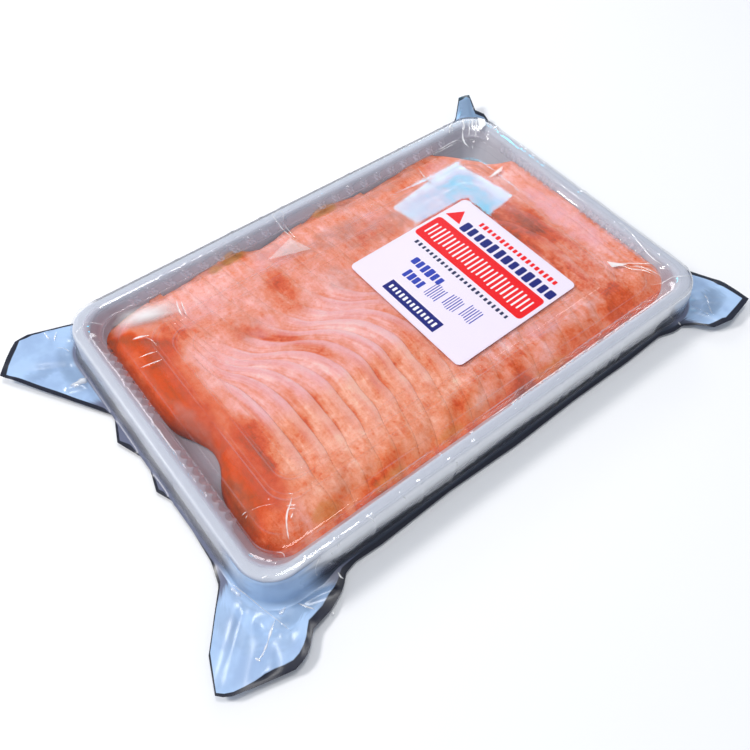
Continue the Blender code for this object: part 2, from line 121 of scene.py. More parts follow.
# Creases pressed into the film, with painted glints: width in mm, how white, and the places each one runs
# through, in mm.
CREASE_GLINTS = (
    (1.6, 0.9, (109, 79.3), (110.4, 82), (113.7, 84.9), (117.8, 87.2)),
    (0.9, 0.7, (111.1, 79), (112.2, 81.8), (115.4, 84.9)),
    (2.8, 0.95, (125, 85.6), (122.4, 83.3), (120.7, 80.3), (117.9, 78.4)),
    (2, 1, (118.6, 79.2), (115.9, 75.5), (114.3, 71.8), (114.1, 67.9)),
    (1, 0.8, (152.7, 103.7), (149.6, 102.1)),
    (1.6, 0.6, (127.8, 82.9), (124.4, 79.9), (121.8, 76.6), (118.6, 73.5)),
    (2.6, 0.9, (128.6, 81.1), (125.7, 78.5), (123.2, 75)),
    (2.2, 0.9, (130.8, 80.7), (127.2, 76.6), (124.1, 73.3), (121.7, 70.2)),
    (2.6, 0.9, (118.2, 69.3), (120.2, 69.7)),
    (1, 0.5, (116.7, 67.7), (114.6, 64.9)),
    (1.3, 0.75, (114.1, 75.3), (110.1, 76.2), (103.6, 76.2), (95.4, 75.7)),
    (0.9, 0.6, (109.9, 75.1), (101.8, 74.9), (93.5, 74.4)),
    (0.9, 0.85, (132.8, -30.8), (131.5, -41.3), (129.5, -51), (128.1, -60), (128.1, -65.4),
     (128.1, -70.8)),
    (1, 0.9, (109.9, -45.9), (113.5, -50.3), (118.5, -54.2), (123.8, -59.6), (128.7, -64.8)),
    (1.2, 0.9, (108.9, -49.6), (113.8, -52.8), (116.6, -57.9), (120.5, -62.7), (121.9, -68.8)),
    (2, 0.45, (116.1, -54.9), (120.6, -59.2), (122.6, -64.2), (123.5, -71.3)),
    (0.9, 0.85, (115, -71.3), (118.7, -74.1), (122.6, -75.3), (125.2, -76.3), (127.5, -78.8), (130.8, -81),
     (133.6, -82.4)),
    (0.8, 0.5, (128.8, -83.9), (125.3, -86.8), (121.5, -88.2), (115.1, -88.3), (104.2, -88.3)),
    (1.2, 0.7, (122.1, -77.4), (120, -79.3)),
    (1.2, 0.7, (115.1, -81.6), (116, -82.6)),
    (1.8, 0.95, (119.8, -91.4), (119.8, -93.7)),
    (1.8, 0.95, (-114.6, 58.4), (-111.1, 57.9), (-106.4, 55.8)),
    (0.6, 0.6, (-109.4, 57.1), (-107.2, 52.5), (-107, 47)),
    (1, 0.8, (-117.6, 46.8), (-112.6, 46.3), (-108.5, 45)),
    (1.3, 0.85, (-119.7, 40.8), (-114.8, 40.4), (-109, 39.3)),
    (0.7, 0.7, (-131.4, 76.7), (-126.9, 76.3), (-121, 73.4)),
    (0.9, 0.8, (-132.7, 64.5), (-130.8, 67.5)),
    (0.8, 0.6, (-135.5, 73.6), (-132.9, 74.6), (-130.1, 75.3)),
    (1, 0.7, (-144.5, 87), (-141.7, 84.6), (-140.2, 81)),
    (1.2, 0.8, (-145.3, 98.7), (-144.9, 93.6)),
    (1.2, 0.8, (-143.6, 91.8), (-140, 96.3)),
    (1, 0.6, (-131.1, 49.5), (-128.4, 49.4)),
    (1.8, 0.9, (-85, 67.8), (-86.8, 62.8), (-88, 57)),
    (1.2, 0.8, (-83.2, 66.5), (-85, 60.1), (-86.1, 55)),
    (0.9, 0.9, (-14.7, 79.2), (-12.1, 79.7), (-9.4, 82.5), (-9.9, 85.1), (-12.7, 85.3), (-15.3, 84.3),
     (-14.9, 79), (-13.9, 72.2), (-12.7, 65.5)),
    (0.8, 0.8, (-12.4, 78.9), (-12.2, 72.7), (-12.3, 67)),
    (1, 0.85, (77.2, 71.6), (76, 64.7), (75.2, 57.4)),
    (0.8, 0.6, (75.9, 67.7), (74.8, 60.6), (74.4, 55.6)),
    (0.8, 0.8, (-123, -52.5), (-121.5, -52), (-120.3, -52)),
    (0.7, 0.7, (-122.6, -54.5), (-120.7, -53.4)),
    (0.5, 0.35, (-119.8, -52.4), (-114.1, -53.3), (-108.4, -56)),
    (1.2, 0.9, (-101.7, -55.2), (-100.2, -56.8)),
    (1.2, 0.8, (-110.1, -52.2), (-109.5, -52.9)),
    (1.5, 1, (-101.2, -57.4), (-103.5, -59.7), (-106.7, -62.1), (-109.4, -65.3), (-111.7, -69.3),
     (-113.5, -73.2)),
    (1, 0.9, (-105.8, -59.7), (-103.8, -60.6), (-102, -61.9)),
    (0.9, 0.9, (-106.5, -61.2), (-104.7, -61.9), (-103.1, -62.9)),
    (1.4, 0.8, (-107.5, -65.6), (-105.1, -63.9)),
    (0.7, 0.75, (-121.1, -75.2), (-119.7, -76), (-119.1, -77.7), (-119.9, -80)),
    (0.7, 0.5, (-125.7, -76.3), (-125.3, -78), (-124.4, -79.6), (-122.9, -79.5)),
    (1.2, 0.9, (-131.8, -81.7), (-130.6, -82.1), (-129.2, -82.4)),
    (1.2, 0.95, (-112.1, -89.6), (-111.9, -89.3), (-110.1, -88.8), (-108.1, -88.1)),
    (1.1, 0.8, (-103.8, -88.9), (-102.3, -89.5)),
    (1, 0.8, (-98.7, -88.2), (-100.8, -88.9)),
    (1.3, 0.95, (-102.7, -91.3), (-102.9, -94.1), (-102.3, -95.4)),
    (2, 0.95, (-134.3, -92.2), (-137.9, -94.4), (-142.8, -98.6), (-146.2, -100.8), (-148.8, -101.7)),
    (1.6, 0.9, (-149.2, -100.1), (-148.1, -102.7)),
    (0.6, 0.8, (-140.8, -66.6), (-139.3, -73.7), (-137.1, -81.6), (-135, -89.3), (-133.5, -94.9),
     (-132.1, -101.3)),
    (1.3, 0.9, (-123.7, -92.1), (-121.9, -95.1), (-119.4, -98.9)),
    (4, 0.55, (-141.6, -69.8), (-140.4, -76)),
    (3, 0.5, (-128.1, -90.4), (-132.3, -91.7)),
    (1, 0.8, (-114.5, -102.9), (-114.6, -105)),
    (1.2, 0.9, (-83.5, -85.7), (-82.2, -88), (-81.7, -89.2)),
    (1, 0.8, (-81.5, -86.4), (-80.1, -88.8)),
    (0.9, 0.7, (-66.1, -87.9), (-64.1, -89.1)),
    (1, 0.7, (-37, -88.8), (-34.4, -89.4)),
    (5, 0.95, (-149.4, 60.6), (-145.1, 60.9), (-140.7, 62.1)),
    (1.2, 0.45, (146.7, -87), (140.2, -95.4), (136.4, -100.3)),
    (0.8, 0.4, (135.3, -87.1), (134.9, -92.2), (134.8, -100.8)),
)

# Painted glare and reflections, laid flat on the film as patches: whiteness in the middle, at the rim, and
# corners in mm.
GLARE_PATCHES = (
    (0.95, 0.9, (131.8, 80.6), (137.2, 80.4), (134, 76.4), (131.8, 72.9), (127.5, 72.3), (126.7, 73.6)),
    (0.3, 0.24, (-32.8, 63.3), (-14.6, 69.4), (-10, 56)),
    (0.8, 0.75, (109.9, -45.9), (116.9, -54.2), (108.8, -50.4)),
    (0.9, 0.5, (104.7, 41), (113.7, 43.1), (118.6, 43.3), (115.3, 40.6), (107.9, 40.3)),
    (0.72, 0, (-119.2, 71.5), (-112.9, 76.2), (-97.7, 74.2), (-84.2, 69.3), (-87.4, 60.2), (-101.3, 61.8),
     (-112.7, 65.7)),
)

# Painted highlights as pale lines along the lid's steps and beads, by inset and half width in mm, and
# whiteness.
LID_LINE_HIGHLIGHTS = (
    (9.7, 0.35, 0.35), (11.7, 0.45, 0.5), (17.4, 0.6, 0.22), (29.2, 0.55, 0.3), (31.2, 0.35, 0.16),
    (36.9, 0.6, 0.26), (38.3, 0.35, 0.16), (44.5, 0.45, 0.12),
)

# Label print, as rows along the label: colour name, height of the row's foot, its height,
# start and end along the row in mm, how many bars it is cut into, and how full they are.
LABEL_ROWS = (
    ("red", 43.5, 19.5, 1.6, 81.8, 1, 1),
    ("white", 47, 12, 4, 79.6, 26, 0.34),
    ("navy", 64.4, 7.6, 14.6, 82.6, 13, 0.74),
    ("red", 74.4, 3.6, 19.6, 77.4, 18, 0.62),
    ("black", 38.4, 2.8, 7, 77.6, 24, 0.52),
    ("navy", 4.2, 7.8, 21.6, 60.4, 1, 1),
    ("white", 6.3, 3.6, 23.2, 58.8, 13, 0.5),
    ("blue", 26.6, 6.4, 17, 39.6, 6, 0.78),
    ("blue", 17.4, 6.4, 21, 35, 4, 0.78),
    ("blue", 17.6, 11, 37.5, 46.5, 6, 0.34),
    ("blue", 19.6, 11, 48.5, 57.5, 6, 0.34),
    ("blue", 21.6, 11, 59.5, 68.5, 6, 0.34),
)


def from_hex(code):
    """Linear colour of an sRGB hex value."""
    parts = [int(code[at:at + 2], 16) / 255 for at in (0, 2, 4)]
    linear = [part / 12.92 if part <= 0.04045 else ((part + 0.055) / 1.055) ** 2.4 for part in parts]
    return (*linear, 1)


def colour(name, code, description):
    return FloatVectorProperty(
        name=name, description=description, subtype="COLOR", size=4, min=0, max=1, default=from_hex(code)
    )


def length(name, millimetres, description):
    return FloatProperty(name=name, description=description, unit="LENGTH", default=millimetres * MM, min=0)


class SalmonPackSizes(bpy.types.PropertyGroup):
    rim_corner: length("Rim corner", 17, "Radius of the rim's outer corners")
    tray_wall: length("Tray wall", 0.8, "Thickness of the tray's sheet")
    flute_pitch: length("Long flute pitch", 10.3, "Distance between ribs in the lid's long walls")
    short_flute_pitch: length("Short flute pitch", 5.6, "Distance between ribs in the lid's short walls")
    flute_depth: length("Flute depth", 1.7, "How far each rib stands out of the lid's wall")
    slice_pitch: length("Slice pitch", 10.8, "Distance between the raised edges of slices")
    slice_thick: length("Slice thickness", 2.2, "Thickness of a slice away from its edge")
    slice_edge: length("Slice edge", 0.6, "Thickness of a slice at its raised edge")
    fish_top: length("Fish top", 14.4, "Highest point of the fish under the lid")
    fish_foot: length("Fish foot", 1.8, "Height of the tray's floor under the fish")


class SalmonPackColours(bpy.types.PropertyGroup):
    tray: colour("Tray", "C9CDD8", "White moulded polystyrene")
    tray_mottle: colour("Tray, mottled", "AEB4C0", "Greyer clouds in the polystyrene")
    # Painted reflection and shade of the fish on the tray's walls.
    tray_reflection_shade: colour("Tray, stained", "8E6A6C", "Tray wall that mirrors the fish")
    # Painted shade on the bare floor at the corner.
    tray_corner_shade: colour("Tray corner", "C2C0C8", "Bare floor at the corner without fish")
    film: colour("Film", "B2D0F4", "Pale blue cast of the pouch's film")
    film_mottle: colour("Film, mottled", "8FA9D2", "Bluer clouds in the film's cast")
    # Painted shade on the ears, next to the tray and in the listed patches.
    film_shade: colour("Film, shaded", "5F7896", "Slate blue where the film lies against itself")
    margin: colour("Margin", "6A6F88", "Sealed margin beside the tray")
    # Painted shade on the margin and on the turned film along the near and far sides.
    margin_shade: colour("Margin, shaded", "2C3648", "Dark margin along the side")
    # Painted highlight: a bright band on the film under the rim along the near side.
    silver: colour("Silver film", "F8FAFF", "Bright band under the rim along the near side")
    edge: colour("Edge", "080E26", "Dark line along the pouch's cut edge")
    # Painted glints and glare on the film's folds and flat patches.
    crease: colour("Crease", "FFFFFF", "Film whitened by a sharp fold")
    wall: colour("Lid wall", "CFCEDC", "Grey-lilac cast of the lid's clear wall")
    # Painted pink light from the fish on the lid's wall beside it.
    wall_fish_light: colour("Lid wall by the fish", "B48890", "Pink cast of the lid's wall beside the fish")
    wall_lit: colour("Lid wall, lit", "F4F4FA", "Light that comes through the lid's wall")
    paper: colour("Paper", "F3E7F5", "Label paper")
    paper_shade: colour("Paper, shaded", "E6DCEE", "Lilac clouds in the label paper")
    red: colour("Red", "EE0008", "Red ink")
    navy: colour("Navy", "0C1674", "Dark blue ink")
    blue: colour("Blue", "2C3EAE", "Mid blue ink")
    black: colour("Black", "2A2F55", "Blue-black ink")
    white: colour("White", "F6F2F8", "White left in the print")
    fat: colour("Fat", "FCD6CE", "Palest fat between the flakes")
    blush: colour("Blush flesh", "F9B8B0", "Pale pink flesh")
    pink: colour("Pink flesh", "F0A190", "Pink flesh")
    peach: colour("Peach flesh", "E88C6C", "Peach flesh")
    orange: colour("Orange flesh", "E26C3C", "Orange flesh")
    deep: colour("Deep flesh", "D44C0C", "Deep orange flesh")
    # The darkest flesh colours also carry painted shade towards the near wall.
    smoked: colour("Smoked flesh", "B04C20", "Red-brown smoked flesh")
    brown: colour("Smoked edge", "90381A", "Brown smoked edge")
    lilac: colour("Lilac sheen", "EAA8AE", "Cool pink along a slice's edge")
    # Painted shade that dulls the flesh in patches.
    dusk: colour("Dull flesh", "B98278", "Dull greyish pink flesh")
    golden: colour("Golden edge", "C48C40", "Golden brown bits along the long sides")
    warm_cast: colour("Warm cast", "FFF8DC", "Warm light on the near flesh")
    backdrop: colour("Backdrop", "F4F4F6", "White backdrop paper")
    backdrop_pale: colour("Backdrop, pale", "FAFAFA", "Paler clouds in the backdrop paper")


def sizes():
    """The sizes that the pieces are built to."""
    return bpy.context.scene.salmon_pack_sizes


def colours():
    """The colours that the materials are made with."""
    return bpy.context.scene.salmon_pack_colours


# ---------------------------------------------------------------- mesh helpers

def smooth(value):
    """Smooth step from 0 to 1."""
    held = np.clip(value, 0, 1)
    return held * held * (3 - 2 * held)


def window(value, start, end, soft):
    """1 between `start` and `end`, and soft towards both."""
    return smooth((value - start) / soft) * smooth((end - value) / soft)


def bell(value):
    """1 at 0, falling evenly to both sides."""
    return np.exp(-value ** 2)


def oval(x, y, middle_x, middle_y, reach_x, reach_y):
    """0 in the middle of an oval, 1 on its rim and more outside."""
    return ((x - middle_x) / reach_x) ** 2 + ((y - middle_y) / reach_y) ** 2


def wander(x, y, size, seed=0):
    """Smooth noise from about -1 to 1 at places in mm, with features of about `size` mm."""
    flat_x, flat_y = np.broadcast_arrays(np.asarray(x, float), np.asarray(y, float))
    places = zip(flat_x.ravel(), flat_y.ravel())
    values = [noise.noise(Vector((a / size, b / size, seed))) for a, b in places]
    return np.array(values).reshape(flat_x.shape)


def round_profile(profile, rounds=1):
    """Profile with its corners cut, so that a moulded sheet has no sharp bends."""
    points = np.array(profile, float)
    for _ in range(rounds):
        first = points[:-1] * 0.75 + points[1:] * 0.25
        second = points[:-1] * 0.25 + points[1:] * 0.75
        inner = np.stack([first, second], 1).reshape(-1, 3)
        points = np.vstack([points[:1], inner[1:-1], points[-1:]])
    return points


def split_profile(profile, longest):
    """Profile with its long steps divided."""
    points = [profile[0]]
    for start, end in zip(profile[:-1], profile[1:]):
        pieces = max(1, math.ceil(math.dist(start[:2], end[:2]) / longest))
        points += [start + (end - start) * step / pieces for step in range(1, pieces + 1)]
    return np.array(points)


def rim_sides():
    """Radius of the rim's corners, and the straight runs along X and along Y, in mm."""
    radius = sizes().rim_corner / MM
    return radius, np.array([2 * RIM_X - 2 * radius, 2 * RIM_Y - 2 * radius])


def rim_stations(step, arc_steps):
    """Places round the rim in mm: corner, share of its arc, share of its side, distance run."""
    radius, sides = rim_sides()
    arc = radius * math.pi / 2
    rows = []
    run = 0
    for corner in range(4):
        rows += [(corner, part / arc_steps, 0, run + arc * part / arc_steps) for part in range(arc_steps)]
        run += arc
        straight = sides[corner % 2]
        parts = round(straight / step)
        rows += [(corner, 1, part / parts, run + straight * part / parts) for part in range(parts)]
        run += straight
    return np.array(rows), run


def rim_ring(stations, inset, radius):
    """Places on the rounded rectangle set in by `inset` mm, one for each station."""
    corner = stations[:, 0].astype(int)

    def on_arc(corner, turn):
        x = np.array([1, -1, -1, 1])[corner % 4] * (RIM_X - inset - radius)
        y = np.array([1, 1, -1, -1])[corner % 4] * (RIM_Y - inset - radius)
        return x + radius * np.cos(math.pi / 2 * turn), y + radius * np.sin(math.pi / 2 * turn)

    start_x, start_y = on_arc(corner, corner + stations[:, 1])
    end_x, end_y = on_arc(corner + 1, corner + 1)
    share = stations[:, 2]
    return start_x + (end_x - start_x) * share, start_y + (end_y - start_y) * share


def outward(stations):
    """Which way is outwards at each station, along X and along Y."""
    angle = math.pi / 2 * (stations[:, 0] + stations[:, 1])
    return np.cos(angle), np.sin(angle)


def deselect():
    """Leaves edit mode, with nothing selected."""
    if bpy.context.object and bpy.context.object.mode != "OBJECT":
        bpy.ops.object.mode_set(mode="OBJECT")
    bpy.ops.object.select_all(action="DESELECT")


def edit_all(*steps):
    """Takes steps in edit mode, each on the whole of the active piece."""
    bpy.ops.object.mode_set(mode="EDIT")
    for step in steps:
        bpy.ops.mesh.select_all(action="SELECT")
        step()
    bpy.ops.object.mode_set(mode="OBJECT")


clear_selection = partial(bpy.ops.mesh.select_all, action="DESELECT")
point_outwards = partial(bpy.ops.mesh.normals_make_consistent, inside=False)


def extrude(distance):
    """Step that extrudes what is selected by a distance in metres along Z."""
    return partial(bpy.ops.mesh.extrude_region_move, TRANSFORM_OT_translate={"value": (0, 0, distance)})


def sheet_grid(name, places):
    """Flat grid primitive whose rows are laid on `places`, shape (rows, columns, 3), in mm."""
    deselect()
    rows, columns = places.shape[:2]
    bpy.ops.mesh.primitive_grid_add(x_subdivisions=columns - 1, y_subdivisions=rows - 1, size=1)
    made = bpy.context.object
    made.name = name
    made.data.name = name
    made.data.vertices.foreach_set("co", (places * MM).astype(np.float32).ravel())
    made.data.update()
    return made


def rolled_sheet(name, rings):
    """Sheet of closed rings: a grid joined along its seam, and filled in the middle."""
    rings = np.array(rings)
    made = sheet_grid(name, np.concatenate([rings, rings[:, :1]], axis=1))
    edit_all(partial(bpy.ops.mesh.remove_doubles, threshold=1e-6), clear_selection)
    for vert in made.data.vertices[:rings.shape[1]]:
        vert.select = True
    bpy.ops.object.mode_set(mode="EDIT")
    bpy.ops.mesh.select_mode(type="VERT")
    bpy.ops.mesh.edge_face_add()
    edit_all(point_outwards)
    face_up(made)
    bpy.ops.object.shade_smooth()
    return made


def face_up(made):
    """Turns a sheet's faces over if most of its area faces down."""
    mesh = made.data
    normals = np.zeros(len(mesh.polygons) * 3)
    areas = np.zeros(len(mesh.polygons))
    mesh.polygons.foreach_get("normal", normals)
    mesh.polygons.foreach_get("area", areas)
    if (normals.reshape(-1, 3)[:, 2] * areas).sum() < 0:
        edit_all(bpy.ops.mesh.flip_normals)


def thicken(made, thickness, group=None, thin_share=1):
    """Gives a sheet its thickness downwards and applies it."""
    solid = made.modifiers.new("thickness", "SOLIDIFY")
    solid.thickness = thickness
    solid.offset = -1
    if group:
        solid.vertex_group = group
        solid.thickness_vertex_group = thin_share
    bpy.context.view_layer.objects.active = made
    bpy.ops.object.modifier_apply(modifier=solid.name)


def paint(made, name, values):
    """Stores one number for each vertex, for a material to read."""
    layer = made.data.attributes.new(name, "FLOAT", "POINT")
    layer.data.foreach_set("value", np.asarray(values, np.float32).ravel())


def paint_rows(made, looks):
    """Stores numbers kept ring by ring, for as many vertices as the seam has left."""
    for name, rows in looks.items():
        paint(made, name, np.concatenate(rows)[:len(made.data.vertices)])


def finish_piece(made, material, nodes):
    """Gives a piece its material, its CAD nodes and its body."""
    made.data.materials.clear()
    made.data.materials.append(material)
    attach(made, "root")
    if nodes:
        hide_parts(*nodes)


# ---------------------------------------------------------------- material helpers

# The output that is read from a node of a kind, where it isn't its first one.
USUAL_OUTPUTS = {"Attribute": "Fac", "LayerWeight": "Facing", "Mix": 2, "TexCoord": "Object"}


def add(tree, kind, inputs=(), out=None, **settings):
    """Adds a node, sets it up, fills or links its inputs, and gives the output that is read.

    Inputs in a tuple fill the sockets in their order. A word stands for one of the pack's colours.
    """
    made = tree.nodes.new("ShaderNode" + kind)
    if kind == "Mix":
        made.data_type = "RGBA"
    for key, value in settings.items():
        setattr(made, key, value)
    for key, value in (dict(enumerate(inputs)) if isinstance(inputs, tuple) else inputs).items():
        socket = made.inputs[key]
        if isinstance(value, bpy.types.NodeSocket):
            tree.links.new(value, socket)
        else:
            socket.default_value = getattr(colours(), value)[:] if isinstance(value, str) else value
    return made.outputs[out or USUAL_OUTPUTS.get(kind, 0)] if made.outputs else None


def new_material(name):
    """Empty material, its node tree, and the place on a piece that its patterns follow."""
    made = bpy.data.materials.new(name)
    made.use_nodes = True
    made.node_tree.nodes.clear()
    return made, made.node_tree, add(made.node_tree, "TexCoord")


def per_mm(size):
    """Scale of a pattern whose features are about `size` mm."""
    return 1 / (size * MM)


def tray_material():
    """Thermoformed high-impact polystyrene: white, faintly blue, softly glossy with a fine skin."""
    made, tree, place = new_material("white_polystyrene_thermoformed")
    skin = add(tree, "TexNoise", {"Vector": place, "Scale": per_mm(3), "Detail": 4})
    mottle = add(tree, "TexNoise", {"Vector": place, "Scale": per_mm(22), "Detail": 2})
    mottled = add(tree, "Math", (mottle, 0.25), operation="MULTIPLY")
    # Painted reflection and shade of the fish on the walls, and painted shade on the bare corner.
    stain = add(tree, "Attribute", attribute_name="stain")
    corner = add(tree, "Attribute", attribute_name="shade")
    shade = "tray"
    for share, over in ((mottled, "tray_mottle"), (stain, "tray_reflection_shade"), (corner, "tray_corner_shade")):
        shade = add(tree, "Mix", {0: share, 6: shade, 7: over})
    normal = add(tree, "Bump", {"Height": skin, "Distance": 0.05 * MM, "Strength": 0.5})
    surface = add(
        tree, "BsdfPrincipled",
        {"Base Color": shade, "Roughness": 0.38, "IOR": 1.59, "Specular IOR Level": 0.3, "Normal": normal,
         "Subsurface Weight": 0.5, "Subsurface Radius": (1, 1, 1), "Subsurface Scale": 2 * MM}
    )
    add(tree, "OutputMaterial", {"Surface": surface})
    return made


def clear_sheet(tree, normal, body, opacity, base, gain, roughness):
    """A clear sheet: a body of some opacity, under a reflection that rises towards its edges."""
    facing = add(tree, "LayerWeight", {"Blend": 0.5, "Normal": normal})
    rise = add(tree, "Math", (facing, 4), operation="POWER")
    share = add(tree, "Math", (rise, gain, base), operation="MULTIPLY_ADD", use_clamp=True)
    clear = add(tree, "BsdfTransparent", {"Color": (1, 1, 1, 1)})
    inner = add(tree, "MixShader", (opacity, clear, body))
    mirror = add(
        tree, "BsdfPrincipled",
        {"Base Color": (1, 1, 1, 1), "Metallic": 1, "Roughness": roughness, "Normal": normal}
    )
    both = add(tree, "MixShader", (share, inner, mirror))
    add(tree, "OutputMaterial", {"Surface": both})


def lid_material():
    """Pressed oriented polystyrene: clear and stiff, with painted highlights in fine pale lines where it was
    bent sharply and on its ribs, and painted pink light from the fish in its wall.
    """
    made, tree, place = new_material("clear_polystyrene_pressed")
    inset = add(tree, "Attribute", attribute_name="inset")
    shown = add(tree, "Attribute", attribute_name="haze")
    warm = add(tree, "Attribute", attribute_name="warm")
    pull = add(tree, "TexNoise", {"Vector": place, "Scale": per_mm(16), "Detail": 2})
    patchy = add(tree, "TexNoise", {"Vector": place, "Scale": per_mm(24), "Detail": 3})
    strength = add(tree, "MapRange", (patchy, 0.38, 0.62, 0.25, 1))
    # Painted highlights along the steps and beads.
    for middle, half_width, whiteness in LID_LINE_HIGHLIGHTS:
        away = add(tree, "Math", (inset, middle), operation="SUBTRACT")
        size = add(tree, "Math", (away,), operation="ABSOLUTE")
        line = add(tree, "MapRange", (size, half_width, 0.1, 0, whiteness))
        weight = add(tree, "Math", (line, strength), operation="MULTIPLY")
        shown = add(tree, "Math", (shown, weight), operation="MAXIMUM")
    normal = add(tree, "Bump", {"Height": pull, "Distance": 0.25 * MM, "Strength": 0.6})
    # Painted pink light from the fish where the wall stands beside it.
    cast = add(tree, "Mix", {0: warm, 6: "wall", 7: "wall_fish_light"})
    front = add(tree, "BsdfPrincipled", {"Base Color": cast, "Roughness": 0.3, "Normal": normal})
    through = add(tree, "BsdfTranslucent", {"Color": "wall_lit", "Normal": normal})
    body = add(tree, "MixShader", (0.45, front, through))
    clear_sheet(tree, normal, body, shown, 0.015, 0.5, 0.05)
    return made


def film_material():
    """Coextruded nylon and polyethylene film: glossy, pale blue where it lies double in the ears."""
    made, tree, place = new_material("nylon_film_vacuum_drawn")
    ear, edge, haze, dark, satin, taut, silver = (
        add(tree, "Attribute", attribute_name=name) for name in FILM_VALUES
    )
    slack = add(tree, "TexNoise", {"Vector": place, "Scale": per_mm(9), "Detail": 3, "Roughness": 0.55})
    fine = add(tree, "TexNoise", {"Vector": place, "Scale": per_mm(2.2), "Detail": 2})
    relief = add(tree, "Math", (fine, 0.12, slack), operation="MULTIPLY_ADD")
    for held, least in ((ear, 0.35), (taut, 0.05)):
        loose = add(tree, "MapRange", (held, 0, 1, 1, least))
        relief = add(tree, "Math", (relief, loose), operation="MULTIPLY")
    normal = add(tree, "Bump", {"Height": relief, "Distance": 0.5 * MM, "Strength": 0.22})
    mottle = add(tree, "TexNoise", {"Vector": place, "Scale": per_mm(18), "Detail": 3, "Roughness": 0.6})
    uneven = add(tree, "MapRange", (mottle, 0.4, 0.66, 0, 0.55), interpolation_type="SMOOTHSTEP")
    pale = add(tree, "Mix", {0: uneven, 6: "film", 7: "film_mottle"})
    # Painted shade darkens the ears and the margin, and the painted highlight band is laid on top.
    in_ear = add(tree, "Mix", {0: dark, 6: pale, 7: "film_shade"})
    cast = add(tree, "Mix", {0: dark, 6: "margin", 7: "margin_shade"})
    for share, over in ((ear, in_ear), (silver, "silver"), (edge, "edge")):
        cast = add(tree, "Mix", {0: share, 6: cast, 7: over})
    body = add(tree, "BsdfPrincipled", {"Base Color": cast, "Roughness": 0.34, "Normal": normal})
    # Satin film mirrors less, rises less towards its edges, and blurs what it mirrors.
    gloss, rise, blur = (
        add(tree, "MapRange", (satin, 0, 1, *ends)) for ends in ((0.072, 0.006), (0.8, 0.25), (0.03, 0.35))
    )
    clear_sheet(tree, normal, body, haze, gloss, rise, blur)
    return made


def crease_glint_material():
    """Nylon film with painted glints: white painted along sharp folds and in flat patches of glare, where the
    film catches the light.
    """
    made, tree, place = new_material("nylon_film_creased")
    white = add(tree, "Attribute", attribute_name="white")
    fine = add(tree, "TexNoise", {"Vector": place, "Scale": per_mm(1.6), "Detail": 2})
    normal = add(tree, "Bump", {"Height": fine, "Distance": 0.1 * MM, "Strength": 0.4})
    body = add(tree, "BsdfPrincipled", {"Base Color": "crease", "Roughness": 0.3, "Normal": normal})
    clear_sheet(tree, normal, body, white, 0.06, 0.3, 0.12)
    return made


def label_material():
    """Coated paper label: pinkish white with a faint fibre and a satin face."""
    made, tree, place = new_material("coated_label_paper")
    fibre = add(tree, "TexNoise", {"Vector": place, "Scale": per_mm(0.8), "Detail": 4})
    patch = add(tree, "TexNoise", {"Vector": place, "Scale": per_mm(30), "Detail": 2})
    share = add(tree, "Math", (patch, 0.3), operation="MULTIPLY")
    shade = add(tree, "Mix", {0: share, 6: "paper", 7: "paper_shade"})
    normal = add(tree, "Bump", {"Height": fibre, "Distance": 0.02 * MM, "Strength": 0.5})
    surface = add(tree, "BsdfPrincipled", {"Base Color": shade, "Roughness": 0.42, "Normal": normal})
    add(tree, "OutputMaterial", {"Surface": surface})
    return made


def ink_material(ink):
    """Offset ink on coated paper: an even colour with a slight break-up."""
    made, tree, place = new_material("offset_ink_" + ink)
    speck = add(tree, "TexNoise", {"Vector": place, "Scale": per_mm(0.6), "Detail": 2})
    share = add(tree, "Math", (speck, 0.025), operation="MULTIPLY")
    tone = add(tree, "Mix", {0: share, 6: ink, 7: "white"})
    surface = add(tree, "BsdfPrincipled", {"Base Color": tone, "Roughness": 0.38, "Specular IOR Level": 0.15})
    add(tree, "OutputMaterial", {"Surface": surface})
    return made


# How the flesh's colour runs with its tone, from the palest fat to the brown edge, which also carries painted
# shade.
FLESH_TONES = (
    (0.1, "fat"), (0.28, "blush"), (0.42, "pink"), (0.55, "peach"), (0.68, "orange"), (0.8, "deep"),
    (0.92, "smoked"), (1.04, "brown"),
)

# Patterns that break the tone up: size in mm, and how far each moves the tone. The grain's rows
# also have the noise's detail, and the flakes' have the turn in degrees.
FLESH_GRAIN = ((24, 2, 0.28), (8, 5, 0.56), (3, 3, 0.42), (1.2, 2, 0.24))
FLESH_FIBRES = ((1.5, 0.42), (3.4, 0.58))
FLESH_FLAKES = ((2.2, 62, 0.3), (4.6, 48, 0.42))

# How the tone runs behind each raised edge, in mm: where a change starts, where it is full, and
# its amount. A slice is pale along its edge, with painted shade just in front of the next one.
EDGE_TONES = ((4.2, 0.6, -0.12), (6.8, 10.6, 0.1))


